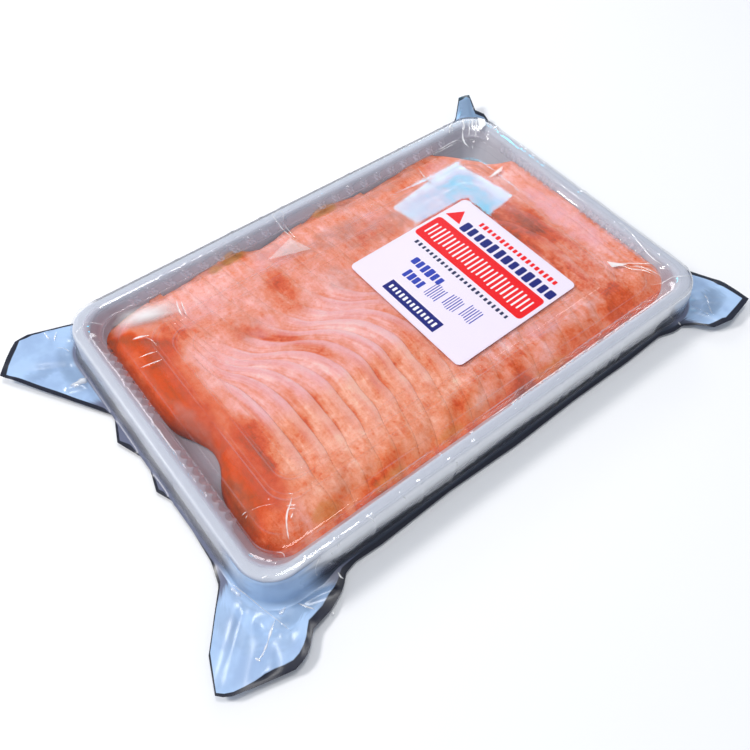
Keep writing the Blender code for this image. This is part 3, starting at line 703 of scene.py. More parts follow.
def salmon_material():
    """Cold-smoked salmon, sliced: moist and translucent, with a tone from pale fat to a brown edge, and painted
    shade and light laid on it.
    """
    made, tree, place = new_material("cold_smoked_salmon_flesh")
    along = add(tree, "TexCoord", out="UV")
    behind, lines, tone, golden, rosy, warm, grainy, dusky = (
        add(tree, "Attribute", attribute_name=name)
        for name in ("behind", "lines", "tone", "golden", "rosy", "warm", "grainy", "dusky")
    )
    patterns = [
        (place, size, amount, 1 if size > 10 else grainy,
         {"Detail": detail, "Roughness": 0.62, "Distortion": 0.5})
        for size, detail, amount in FLESH_GRAIN
    ]
    # Muscle fibres and fat lines run along each slice, across its raised edge.
    fibres = add(tree, "Mapping", {"Vector": along, "Scale": (1, 0.09, 1)})
    patterns += [
        (fibres, size, amount, lines, {"Detail": 3, "Distortion": 0.4}) for size, amount in FLESH_FIBRES
    ]
    # Away from those lines the flakes lie slantwise, with short pale and dark strokes.
    off_lines = add(tree, "Math", (1, lines), operation="SUBTRACT")
    in_flakes = add(tree, "Math", (off_lines, grainy), operation="MULTIPLY")
    for size, degrees, amount in FLESH_FLAKES:
        slant = (0, 0, math.radians(degrees))
        flakes = add(tree, "Mapping", {"Vector": place, "Rotation": slant, "Scale": (1, 0.2, 1)})
        patterns.append((flakes, size, amount, in_flakes, {"Detail": 3, "Distortion": 0.8}))
    for way, size, amount, share, look in patterns:
        pattern = add(tree, "TexNoise", {"Vector": way, "Scale": per_mm(size), **look})
        middle = add(tree, "Math", (pattern, 0.5), operation="SUBTRACT")
        shift = add(tree, "Math", (middle, amount), operation="MULTIPLY")
        tone = add(tree, "Math", (shift, share, tone), operation="MULTIPLY_ADD")
    # Small orange specks of smoke and spice.
    speck = add(tree, "TexNoise", {"Vector": place, "Scale": per_mm(1.7), "Detail": 2, "Roughness": 0.7})
    dotted = add(tree, "MapRange", (speck, 0.6, 0.72, 0, 0.14))
    tone = add(tree, "Math", (dotted, grainy, tone), operation="MULTIPLY_ADD")
    # Pale along each raised edge, and painted shade where the slice over it steps down.
    for start, full, amount in EDGE_TONES:
        edge = add(tree, "MapRange", (behind, start, full, 0, amount), interpolation_type="SMOOTHSTEP")
        tone = add(tree, "Math", (edge, lines, tone), operation="MULTIPLY_ADD")
    flesh = FLESH_TONES[0][1]
    for (low, _), (high, shade) in zip(FLESH_TONES[:-1], FLESH_TONES[1:]):
        share = add(tree, "MapRange", (tone, low, high))
        flesh = add(tree, "Mix", {0: share, 6: flesh, 7: shade})
    # A cool sheen lies along each lip, and cool casts and painted dull shade lie in patches.
    lip = add(tree, "MapRange", (behind, 6.5, 2, 0, 0.55), interpolation_type="SMOOTHSTEP")
    in_lines = add(tree, "Math", (lip, lines), operation="MULTIPLY")
    cloud = add(tree, "TexNoise", {"Vector": place, "Scale": per_mm(7), "Detail": 3})
    patchy = add(tree, "MapRange", (cloud, 0.35, 0.6, 0.3))
    cool = add(tree, "Math", (rosy, patchy), operation="MULTIPLY")
    sheen = add(tree, "Math", (in_lines, cool), operation="MAXIMUM")
    dull = add(tree, "Math", (dusky, patchy), operation="MULTIPLY")
    for share, cast in ((sheen, "lilac"), (dull, "dusk")):
        flesh = add(tree, "Mix", {0: share, 6: flesh, 7: cast})
    # Painted light on the near flesh, tinted cream.
    warmed = add(tree, "Mix", {0: 1, 6: flesh, 7: "warm_cast"}, blend_type="MULTIPLY")
    for share, cast in ((warm, warmed), (golden, "golden")):
        flesh = add(tree, "Mix", {0: share, 6: flesh, 7: cast})
    moist = add(tree, "TexNoise", {"Vector": place, "Scale": per_mm(3), "Detail": 3})
    normal = add(tree, "Bump", {"Height": moist, "Distance": 0.35 * MM, "Strength": 0.5})
    surface = add(
        tree, "BsdfPrincipled",
        {"Base Color": flesh, "Roughness": 0.42, "IOR": 1.4, "Specular IOR Level": 0.15, "Normal": normal,
         "Subsurface Weight": 0.1, "Subsurface Radius": (1, 0.35, 0.2), "Subsurface Scale": 2 * MM}
    )
    add(tree, "OutputMaterial", {"Surface": surface})
    return made


# ---------------------------------------------------------------- pieces

def build_tray():
    """Moulded sheet from the floor to the rim, with painted reflection and shade of the fish on its walls."""
    stations, _ = rim_stations(2.4, 14)
    rings = []
    for inset, height, radius in split_profile(round_profile(TRAY_PROFILE), 9):
        x, y = rim_ring(stations, inset, radius)
        rings.append(np.stack([x, y, np.full_like(x, height)], -1))
    made = rolled_sheet("tray_shell", rings)
    x, y, z = np.array(rings).reshape(-1, 3)[:len(made.data.vertices)].T
    # Painted reflection and shade of the fish on the walls at -X and along the near side, and painted shade on
    # the floor of the bare corner at +X +Y.
    ends = smooth((x + 100) / -16) + smooth((-58 - y) / 14)
    near_wall = 0.55 * smooth((-80 - y) / 1.5) * (np.abs(x) < 124)
    blotch = 0.75 + 0.5 * wander(x, y, 14, 41)
    inside = smooth((19.4 - z) / 2) * (np.abs(x) < RIM_X - 7) * (np.abs(y) < RIM_Y - 7)
    paint(made, "stain", np.clip((0.6 * np.clip(ends, 0, 1) + near_wall) * inside * blotch, 0, 0.85))
    bare = smooth((x - 86) / 10) * smooth((y - 40) / 12)
    paint(made, "shade", bare * smooth((19.8 - z) / 1.5) * (y < 84) * (x < 132))
    thicken(made, sizes().tray_wall)
    finish_piece(made, tray_material(), ["tray"])


# A straight run of the rim longer than this, in mm, is one of its long sides.
LONG_SIDE = 200


def flute_push(stations):
    """The lid's ribs at each station: how far they stand inwards, in mm, and how steep they are."""
    straight = rim_sides()[1][stations[:, 0].astype(int) % 2]
    long_side = straight > LONG_SIDE
    pitch = np.where(long_side, sizes().flute_pitch / MM, sizes().short_flute_pitch / MM)
    from_middle = np.abs(stations[:, 2] * straight - straight / 2)
    # The ribs leave the middle and the ends of each side plain.
    inner = np.where(long_side, 9, 10)
    outer = np.where(long_side, 109, 62)
    grouped = window(from_middle, inner, outer, 0.8)
    away = ((from_middle - inner) / pitch % 1 - 0.5) * pitch
    width = 0.19 * pitch
    steep = bell((np.abs(away) - 0.75 * width) / 0.65)
    on_side = stations[:, 2] > 0
    push = np.where(on_side, grouped * (0.3 + bell(away / width)) * sizes().flute_depth / MM, 0)
    return push, np.where(on_side, grouped * steep, 0)


def side_shares(stations):
    """How much each station belongs to the far, left, near and right side, at +Y, -X, -Y and +X."""
    corner = stations[:, 0].astype(int) + np.minimum(stations[:, 1], 0.999)
    for side in range(1, 5):
        share = np.clip(1.6 - np.abs((corner - side + 2) % 4 - 2) * 1.6, 0, 1)
        yield np.where(corner % 1 > 0.99, share > 0.5, share)


# Film and lid are never clearer than this.
LEAST_HAZE = 0.012


def build_lid():
    """Clear panel with its steps and beads, then the fluted plug wall and the ledge on the rim."""
    stations, _ = rim_stations(0.8, 20)
    push, steep = flute_push(stations)
    out_x, out_y = outward(stations)
    far, left, near, right = side_shares(stations)
    wall = 0.42 * left + 0.36 * far + 0.22 * right + 0.04 * near
    # Painted highlights on the ribs of the far and right walls.
    rib_highlights = 1.2 * steep * (far + 0.5 * right)
    ledge = 0.55 * left + 0.2 * far + 0.15 * right
    rings = []
    looks = {"inset": [], "haze": [], "warm": []}

    def keep(x, y, z, **values):
        rings.append(np.stack([x, y, z], -1))
        for name, value in values.items():
            looks[name].append(value + np.zeros_like(x))

    for inset, height, radius in split_profile(round_profile(LID_PANEL_PROFILE), 6):
        x, y = rim_ring(stations, inset, radius)
        sag = 0.12 * wander(x, y, 45, 4) * smooth((inset - 14) / 10)
        keep(x, y, height + sag, inset=inset, haze=LEAST_HAZE, warm=0)
    for inset, height, radius in round_profile(PLUG_PROFILE):
        x, y = rim_ring(stations, inset, radius)
        inwards = -window(inset, 6.6, 11, 0.8)
        in_wall = float(smooth((inset - 7.7) / 0.3) * smooth((11.5 - inset) / 0.5))
        on_ledge = float(smooth((7.9 - inset) / 0.3) * smooth((inset - 5) / 0.6))
        # The haze carries painted highlights on the ribs, and the pink share is painted light from the fish on
        # the walls and the ledge at -X.
        keep(
            x + out_x * push * inwards, y + out_y * push * inwards, np.full_like(x, height), inset=inset,
            haze=np.clip(LEAST_HAZE + in_wall * np.maximum(wall, rib_highlights) + on_ledge * ledge, 0, 0.85),
            warm=in_wall * (left + 0.5 * near) * (1 - steep * 0.3) + 0.25 * on_ledge * left
        )
    made = rolled_sheet("lid_shell", rings)
    paint_rows(made, looks)
    finish_piece(made, lid_material(), ["lid"])


def edge_places(stations, total):
    """The pouch's outer edge at each station, in mm."""
    table = np.array(POUCH_EDGE)
    runs = np.concatenate([table[-1:, 0] - total, table[:, 0], table[:1, 0] + total])
    columns = [np.concatenate([table[-1:, k], table[:, k], table[:1, k]]) for k in (1, 2, 3)]
    return [np.interp(stations[:, 3], runs, column) for column in columns]


def ridge(x, y, start, end, half_width, height):
    """Height added by one straight fold, in mm."""
    start, end = np.array(start), np.array(end)
    span = end - start
    reach = np.hypot(*span)
    share = ((x - start[0]) * span[0] + (y - start[1]) * span[1]) / reach ** 2
    away = ((x - start[0]) * span[1] - (y - start[1]) * span[0]) / reach
    fade_ends = smooth((share + 0.08) / 0.16) * smooth((1.08 - share) / 0.16)
    return height * bell(away / half_width) * fade_ends


# The label's side and middle in mm, and its turn.
LABEL_SIDE = 84
LABEL_CENTRE = (42, -6.5)
LABEL_TURN = math.radians(1.3)


def label_frame(x, y):
    """X and Y in mm, seen from the label's middle and along its own sides."""
    away_x, away_y = x - LABEL_CENTRE[0], y - LABEL_CENTRE[1]
    turn_x, turn_y = math.cos(LABEL_TURN), math.sin(LABEL_TURN)
    return away_x * turn_x + away_y * turn_y, away_y * turn_x - away_x * turn_y


# Width of the dark line along the pouch's edge against the distance run round it, in mm.
EDGE_WIDTHS = (
    (0, 2.4), (14, 3), (22, 2), (40, 1), (255, 1), (268, 2.2), (284, 2.6), (292, 3), (330, 3), (334, 1),
    (345, 1.2), (350, 2.4), (362, 2.6), (366, 1), (378, 1.2), (382, 2.4), (390, 2.2), (400, 1), (440, 1.2),
    (446, 1), (450, 2), (453, 3.8), (470, 4.2), (478, 3), (520, 1.8), (690, 1.8), (703, 2.6), (716, 3.4),
    (740, 3.4), (748, 2), (862, 1.4),
)

# What the film's sheets store for each vertex and their material reads.
FILM_VALUES = ("ear", "edge", "haze", "dark", "satin", "taut", "silver")

# How milky the sealed film gets, and how low its upper sheet lies, in mm.
MOST_HAZE = 0.93
LEAST_HEIGHT = 0.35

# Rows across the margin and ears: up to 1 before the dark line along the edge, up to 2 on it.
EDGE_STEPS = (*(np.arange(1, 22) / 21), 1.02, 1.4, 1.7, 2.0)

# Shaded patches on the ears: X and Y of the middle, reach along X and Y, in mm, and strength.
EAR_SHADES = (
    (147, -93, 8, 6, 0.4), (139, -97, 7, 4, 0.45), (150, 100, 9, 16, 0.7), (-143, 70, 7, 16, 0.45),
    (-158, 78, 9, 4, 0.25), (-127, -95, 12, 4, 0.45), (-118, -104, 5, 6, 0.3), (-150, -84, 4, 18, 0.22),
    (134, -90, 6, 5, 0.35), (-137, -99, 5, 7, 0.22),
)


PUCKER_SEED = 7
PUCKER_COUNT = 90


def film_puckers(total):
    """Puckers round the film: distance run, width, size, and the inset and reach of each, in mm."""
    generator = np.random.default_rng(PUCKER_SEED)
    return [
        (generator.uniform(0, total), generator.uniform(0.5, 1.3), generator.uniform(0.15, 0.55),
         generator.uniform(-0.5, 6), generator.uniform(2, 5))
        for _ in range(PUCKER_COUNT)
    ]


def draw_film(stations, total, puckers, inset, x, y, z):
    """Places of the drawn film with its slack and puckers, which stand up on the rim and out beside it."""
    out_x, out_y = outward(stations)
    z = z + 0.02 * wander(x, y, 38, 1.5) * smooth((inset - 2) / 12)
    z = z + 0.22 * wander(x, y, 11, 6.5) * smooth((inset - 3) / 6) * smooth((26 - inset) / 8)
    for run, width, size, middle, reach in puckers:
        away = (stations[:, 3] - run + total / 2) % total - total / 2
        swell = size * bell(away / width) * bell((inset - middle) / reach)
        if inset > 1:
            z = z + swell
        else:
            x = x + out_x * swell
            y = y + out_y * swell
    return x, y, z


def drawn_looks(x, y, z, inset):
    """What the film's material reads where the film is drawn over the tray."""
    left = smooth((-x - RIM_X + 22) / 6)
    far = smooth((y - RIM_Y + 22) / 6) * (1 - left)
    near = smooth((-y - RIM_Y + 14) / 6)
    corner = smooth((-x - 104) / 16) * smooth((-y - 56) / 14)
    turned = smooth((0.9 - inset) / 0.7)
    # Painted highlight on the film under the rim along the near side.
    silver = smooth((1.9 - inset) / 0.8) * near * (1 - corner) * smooth((z - 8.5) / 9)
    haze = LEAST_HAZE + turned * (0.1 + 0.6 * far * smooth((inset + 0.9) / 0.6) + 0.3 * near)
    haze = haze + 0.8 * smooth((-1.3 - inset) / 1.6)
    haze = haze + 0.5 * corner * turned
    haze = haze + 0.4 * silver
    across, along = label_frame(x, y)
    on_label = smooth((LABEL_SIDE / 2 + 0.6 - np.maximum(np.abs(across), np.abs(along))) / 1.2)
    on_rim = smooth((8 - inset) / 3) * np.maximum(0.95 * left, 0.8 * far)
    on_slope = smooth((25.6 - inset) / 1.4) * smooth((inset - 8.5) / 2)
    return {
        "haze": np.clip(haze, 0, MOST_HAZE),
        "ear": corner * turned,
        "silver": silver,
        "taut": smooth((inset - 13) / 6),
        # Painted shade on the turned film along the near and far sides.
        "dark": turned * np.maximum(near * window(x, -118, 124, 14), 0.35 * far),
        "satin": np.clip(on_rim + on_label + on_slope + smooth(-1 - inset), 0, 1),
    }


def margin_looks(x, y, width, run, on_edge):
    """What the film's material reads in the margin and the ears, `run` mm out from the rim."""
    ear = smooth((width - 6.5) / 4)
    near = smooth((-y - RIM_Y + 10) / 6) * window(x, -100, 130, 12)
    # Painted shade on the ears next to the tray and in the listed patches, and on the margin along the near
    # side.
    shade = 0.35 * smooth((5 - run) / 4) * ear
    for *place, strength in EAR_SHADES:
        shade = np.maximum(shade, strength * smooth(1.35 - oval(x, y, *place)) * ear)
    return {
        "haze": MOST_HAZE,
        "ear": ear,
        "edge": float(on_edge),
        "dark": np.clip(shade + near * (1 - ear), 0, 1),
        "satin": 1 if on_edge else 1 - 0.4 * ear,
    }


def pouch_sheet(name, profile, lift, draw):
    """One film of the pouch: its drawn part, then the sealed margin and ears out to its edge."""
    stations, total = rim_stations(1, 22)
    puckers = film_puckers(total)
    edge_x, edge_y, edge_z = edge_places(stations, total)
    edge_y = edge_y + 2.6 * smooth((-edge_y - 80) / 8) * window(edge_x, -104, 116, 12)
    rings = []
    stored = {value: [] for value in FILM_VALUES}

    def keep(x, y, z, looks):
        rings.append(np.stack([x, y, z], -1))
        for value, rows in stored.items():
            rows.append(looks.get(value, 0) + np.zeros_like(x))

    for inset, height, radius in split_profile(profile, 2.6):
        x, y = rim_ring(stations, inset, radius)
        # The film hangs closest to the rim along the near side.
        tight = smooth((-y - 80) / 8) * window(x, -112, 118, 12)
        y = y + tight * 0.75 * max(0, -0.9 - inset)
        z = np.full_like(x, height)
        if draw:
            x, y, z = draw_film(stations, total, puckers, inset, x, y, z)
        keep(x, y, z, drawn_looks(x, y, z, inset))
    seam_x, seam_y, seam_z = x, y, z
    width = np.hypot(edge_x - seam_x, edge_y - seam_y)
    dark_width = np.interp(stations[:, 3], *np.array(EDGE_WIDTHS).T)
    dark_share = np.minimum((dark_width + 0.15) / width, 0.8)
    for step in EDGE_STEPS:
        share = step * (1 - dark_share) if step <= 1 else 1 - dark_share * (2 - step) * 0.9
        x = seam_x + (edge_x - seam_x) * share
        y = seam_y + (edge_y - seam_y) * share
        z = seam_z + (edge_z + lift - seam_z) * share
        run = width * share
        z = z + 0.7 * wander(x, y, 13, 2) * (smooth(run / 6) * smooth((width - 6) / 10))
        for fold in EAR_FOLDS:
            z = z + ridge(x, y, *fold) * smooth(run / 4)
        keep(x, y, np.maximum(z, LEAST_HEIGHT + lift), margin_looks(x, y, width, run, step > 1))
    made = rolled_sheet(name, rings)
    paint_rows(made, stored)
    return made


def drop_onto(tree, x, y, lift):
    """Place on a sheet's upper face at X and Y in mm, raised by `lift` mm, all in mm."""
    found, _, _, _ = tree.ray_cast(Vector((x * MM, y * MM, 0.1)), Vector((0, 0, -1)))
    height = found.z / MM if found else 1
    return x, y, height + lift


def smooth_path(points, step):
    """Curve through a few places in mm, cut into steps."""
    points = np.array(points, float)
    ends = np.vstack([2 * points[0] - points[1], points, 2 * points[-1] - points[-2]])
    path = [points[0]]
    for before, start, end, after in zip(ends[:-3], ends[1:-2], ends[2:-1], ends[3:]):
        parts = max(2, math.ceil(math.dist(start, end) / step))
        for part in range(1, parts + 1):
            t = part / parts
            bend = (2 * before - 5 * start + 4 * end - after) * t ** 2
            twist = (3 * start - before - 3 * end + after) * t ** 3
            path.append(0.5 * (2 * start + (end - before) * t + bend + twist))
    return np.array(path)


# The ears lie beyond these distances from the middle, in mm.
EAR_X, EAR_Y = 143, 95


def raised_crease(tree, width, whiteness, points):
    """Thin raised strip of film along a sharp fold, with a painted glint whitest on its ridge."""
    on_ear = abs(points[0][0]) > EAR_X or abs(points[0][1]) > EAR_Y
    width, whiteness, clear = (
        (width * 0.95, whiteness * 0.8, 0.22) if on_ear else (width * 0.7, whiteness * 0.85, 0.04)
    )
    path = smooth_path(points, 0.9)
    way = np.gradient(path, axis=0)
    way /= np.maximum(np.hypot(way[:, 0], way[:, 1]), 1e-9)[:, None]
    run = np.linspace(0, 1, len(path))
    taper = np.clip(np.sin(math.pi * (0.03 + 0.94 * run)) * 1.5, 0.1, 1)
    taper = taper * (0.8 + 0.45 * wander(path[:, 0], path[:, 1], 2.6, 31))
    places = []
    for side, lift in ((-0.5, clear), (0, clear + 0.22 * width), (0.5, clear)):
        x = path[:, 0] - way[:, 1] * side * width * taper
        y = path[:, 1] + way[:, 0] * side * width * taper
        places.append([drop_onto(tree, a, b, lift) for a, b in zip(x, y)])
    strip = sheet_grid("crease", np.array(places))
    face_up(strip)
    fade = np.clip(whiteness * (taper + 0.15), 0, 0.95)
    paint(strip, "white", np.concatenate([0.25 * fade, fade, 0.25 * fade]))
    return strip


def glare_patch(tree, middle_white, rim_white, points):
    """Flat patch of painted glare on the sheet, between its corners."""
    outline = np.array([
        np.array(start) + (np.array(end) - np.array(start)) * part / 6
        for start, end in zip(points, points[1:] + points[:1]) for part in range(6)
    ])
    centre = outline.mean(0)
    rings = [
        [drop_onto(tree, *(centre + (corner - centre) * share), 0.12) for corner in outline]
        for share in (0.06, 0.3, 0.55, 0.8, 1)
    ]
    fold = rolled_sheet("crease", rings)
    shares = np.repeat([0, 0.2, 0.5, 0.8, 1], len(outline))
    paint(fold, "white", middle_white + (rim_white - middle_white) * shares)
    return fold


def build_crease_glints(film):
    """Sharp folds in the film as thin raised strips with painted glints, and flat patches of painted glare."""
    tree = BVHTree.FromObject(film, bpy.context.evaluated_depsgraph_get())
    material = crease_glint_material()
    folds = [raised_crease(tree, width, whiteness, points) for width, whiteness, *points in CREASE_GLINTS]
    folds += [glare_patch(tree, middle, rim, points) for middle, rim, *points in GLARE_PATCHES]
    made = join_plates("film_creases", folds)
    bpy.ops.object.shade_smooth()
    finish_piece(made, material, [])


def build_film():
    """Upper film drawn over the pack, its creases with painted glints and glare, and the flat lower film."""
    film = film_material()
    top = pouch_sheet("pouch_film_top", round_profile(FILM_PROFILE, 2), 0, draw=True)
    finish_piece(top, film, ["pouch_top"])
    build_crease_glints(top)
    base = pouch_sheet("pouch_film_base", round_profile(BASE_PROFILE), -0.3, draw=False)
    edit_all(bpy.ops.mesh.flip_normals)
    finish_piece(base, film, ["pouch_bottom"])


def raising(x, y, low, thick):
    """Steps that give a flat outline its thickness upwards and move it to its place, in mm."""
    move = partial(bpy.ops.transform.translate, value=(x * MM, y * MM, low * MM))
    return extrude(thick * MM), point_outwards, move


def rounded_plate(name, x, y, width, height, corner, low, thick):
    """Flat plate with rounded corners: a plane, bevelled at its corners and extruded."""
    deselect()
    bpy.ops.mesh.primitive_plane_add(size=1, location=(0, 0, 0))
    made = bpy.context.object
    made.name = name
    edit_all(
        partial(bpy.ops.transform.resize, value=(width * MM, height * MM, 1)),
        partial(bpy.ops.mesh.bevel, offset=corner * MM, segments=4, affect="VERTICES"),
        *raising(x, y, low, thick)
    )
    return made


def print_triangle(low):
    """Small triangle in the label's upper corner."""
    deselect()
    bpy.ops.mesh.primitive_circle_add(vertices=3, radius=6.4 * MM, fill_type="NGON")
    edit_all(*raising(7.6 - LABEL_SIDE / 2, 70 - LABEL_SIDE / 2, low, PRINT_THICK))
    return bpy.context.object


def to_label(made):
    """Turns a piece laid out in the label's own frame onto the lid. Its rows read along -Y."""
    turn = Matrix.Rotation(LABEL_TURN - math.pi / 2, 4, "Z")
    middle = Matrix.Translation((LABEL_CENTRE[0] * MM, LABEL_CENTRE[1] * MM, LABEL_LOW.z))
    made.data.transform(middle @ turn)
    made.data.update()


def join_plates(name, plates):
    """Joins pieces that share a material into one."""
    deselect()
    for plate in plates:
        plate.select_set(True)
    bpy.context.view_layer.objects.active = plates[0]
    if len(plates) > 1:
        bpy.ops.object.join()
    made = bpy.context.object
    made.name = name
    made.data.name = name
    return made


# Thickness of the print, and how far it stands off the paper, in mm.
PRINT_THICK = 0.02
PRINT_LIFT = 0.03
WHITE_LIFT = 0.06


def build_label():
    """Square of paper, with each ink's bars and fields joined as one piece on it."""
    thick = (LABEL_HIGH.z - LABEL_LOW.z) / MM
    half = LABEL_SIDE / 2
    paper = rounded_plate("label_sheet", 0, 0, LABEL_SIDE, LABEL_SIDE, 3, 0, thick)
    to_label(paper)
    finish_piece(paper, label_material(), ["label"])
    plates = {}
    for ink, foot, tall, start, end, count, full in LABEL_ROWS:
        pitch = (end - start) / count
        for index in range(count):
            centre = start + pitch * (index + 0.5) - half
            if count == 1:
                wide, shape, corner = pitch, tall, 2.4 if tall > 10 else 0.3
            else:
                wide = pitch * full * (1 + 0.14 * math.sin(2.1 * index + foot))
                shape = tall * (0.9 + 0.1 * math.sin(1.3 * index + start))
                corner = 0.22 * min(wide, shape)
            low = thick + (WHITE_LIFT if ink == "white" else PRINT_LIFT)
            plate = rounded_plate("mark", centre, foot + tall / 2 - half, wide, shape, corner, low, PRINT_THICK)
            plates.setdefault(ink, []).append(plate)
    plates.setdefault("red", []).append(print_triangle(thick + PRINT_LIFT))
    for ink, group in plates.items():
        made = join_plates("label_print_" + ink, group)
        to_label(made)
        finish_piece(made, ink_material(ink), [])


# ---------------------------------------------------------------- fish

def sweep_table():
    """Bend of a raised edge against Y, in mm: straight, then a quarter turn, then nearly straight."""
    y = np.linspace(-90, 90, 721)
    turn = np.clip((y + 20) / 36, 0, 0.9)
    slope = turn / np.sqrt(1 - turn ** 2)
    past = np.maximum(y - 12.4, 0)
    slope = np.where(past > 0, (slope - 0.15) * np.exp(-past / 8) + 0.15, slope)
    bend = np.concatenate([[0], np.cumsum((slope[1:] + slope[:-1]) / 2 * np.diff(y))])
    return y, bend + 0.004 * np.maximum(-20 - y, 0) ** 2


SWEEP_Y, SWEEP_BEND = sweep_table()
FIRST_EDGE = -86
LEAST_GAP = 1.8
# How much of the sweep each slice's raised edge follows, from the first slice to the last.
SWEEP_SHARES = (
    0.25, 0.45, 0.65, 0.85, 1, 1, 1, 1, 1, 1, 1, 1, 1, 1, 0.9, 0.78, 0.64, 0.48, 0.3, 0.14, 0.04
)
EDGE_Y = np.arange(-92.0, 93.0, 1.0)


def edge_table():
    """X of every slice's raised edge along Y, in mm: each one stays behind the one in front of it."""
    pitch = sizes().slice_pitch / MM
    rows = []
    for index, share in enumerate(SWEEP_SHARES):
        waver = 1.5 * wander(np.full_like(EDGE_Y, index * 2.4), EDGE_Y, 15, 1.3)
        row = FIRST_EDGE + pitch * index - share * np.interp(EDGE_Y, SWEEP_Y, SWEEP_BEND) + waver
        rows.append(np.maximum(row, rows[-1] + LEAST_GAP) if rows else row)
    return rows


EDGE_ROWS = []


def raised_edge(index, y):
    """X of a slice's raised edge against Y, in mm."""
    if not EDGE_ROWS:
        EDGE_ROWS.extend(edge_table())
    return np.interp(y, EDGE_Y, EDGE_ROWS[index])


def fish_ceiling(x, y):
    """Height of the pressed top of the fish, in mm, without the steps between slices."""
    top = sizes().fish_top / MM
    height = top + 0.25 - 1.1 * wander(x, y, 21, 3) - 0.9 * wander(x, y, 9, 8)
    folds = 1.3 * wander(x - 0.8 * y, y * 0.4, 11, 12) * smooth((-50 - y) / 10)
    near = 6.5 * smooth((-60 - y + 5 * wander(x, y * 0, 17, 2)) / 22)
    lumps = bell((x + 46) / 8) + 0.8 * bell((x - 14) / 7)
    far = 0.8 * smooth((y - 72) / 7) - 3.4 * np.minimum(lumps, 1) * smooth((y - 76.2) / 2.8)
    right = -1.2 * smooth((x - 108) / 14)
    return np.minimum(height, top) - np.maximum(folds, -0.4) - near - far - right


def line_zone(x, y):
    """Where the slices' edges show as lines: the middle of the pack, fading all round it."""
    waver = 7 * wander(x, y, 20, 31)
    across = smooth((y + waver + 54) / 14) * smooth((34 + waver - y) / 18)
    return across * smooth((x + waver + 98) / 8) * (0.25 + 0.75 * smooth((4 + waver - x) / 14))


def slice_level(x, y):
    """Which slice's raised edge passes through a place, as a number that runs on between edges."""
    rows = [raised_edge(index, y) for index in range(len(SWEEP_SHARES))]
    level = np.minimum(0, (x - rows[0]) * MM / sizes().slice_pitch)
    for low, high in zip(rows[:-1], rows[1:]):
        level = level + np.clip((x - low) / (high - low), 0, 1)
    return level


def slice_drop(covers, behind, zone):
    """How far a slice's top lies under the ceiling, in mm, where `covers` slices lie over it."""
    gap = 0.04 + 0.05 * zone
    first = sizes().slice_edge / MM * (0.1 + 0.5 * zone) + gap
    later = sizes().slice_thick / MM + gap
    whole = np.maximum(covers - 1, 0)
    bend = first * smooth((covers - 0.25) / 0.75)
    lip = 0.15 * zone * (1 - smooth(behind))
    return bend + later * whole + lip


def bare_limit(x):
    """Highest Y that the fish reaches, in mm: the corner at +X +Y is bare."""
    return np.interp(
        x, [-140, -125, -108, -60, -52, -40, -32, -22, -8, 6, 20, 34, 60, 84, 94, 102, 112, 121, 129, 133],
        [75, 77, 79, 78.5, 80.4, 80.4, 75, 74.5, 78.5, 80, 80.2, 77, 79, 79.5, 78, 68, 56, 49, 46, 44]
    )


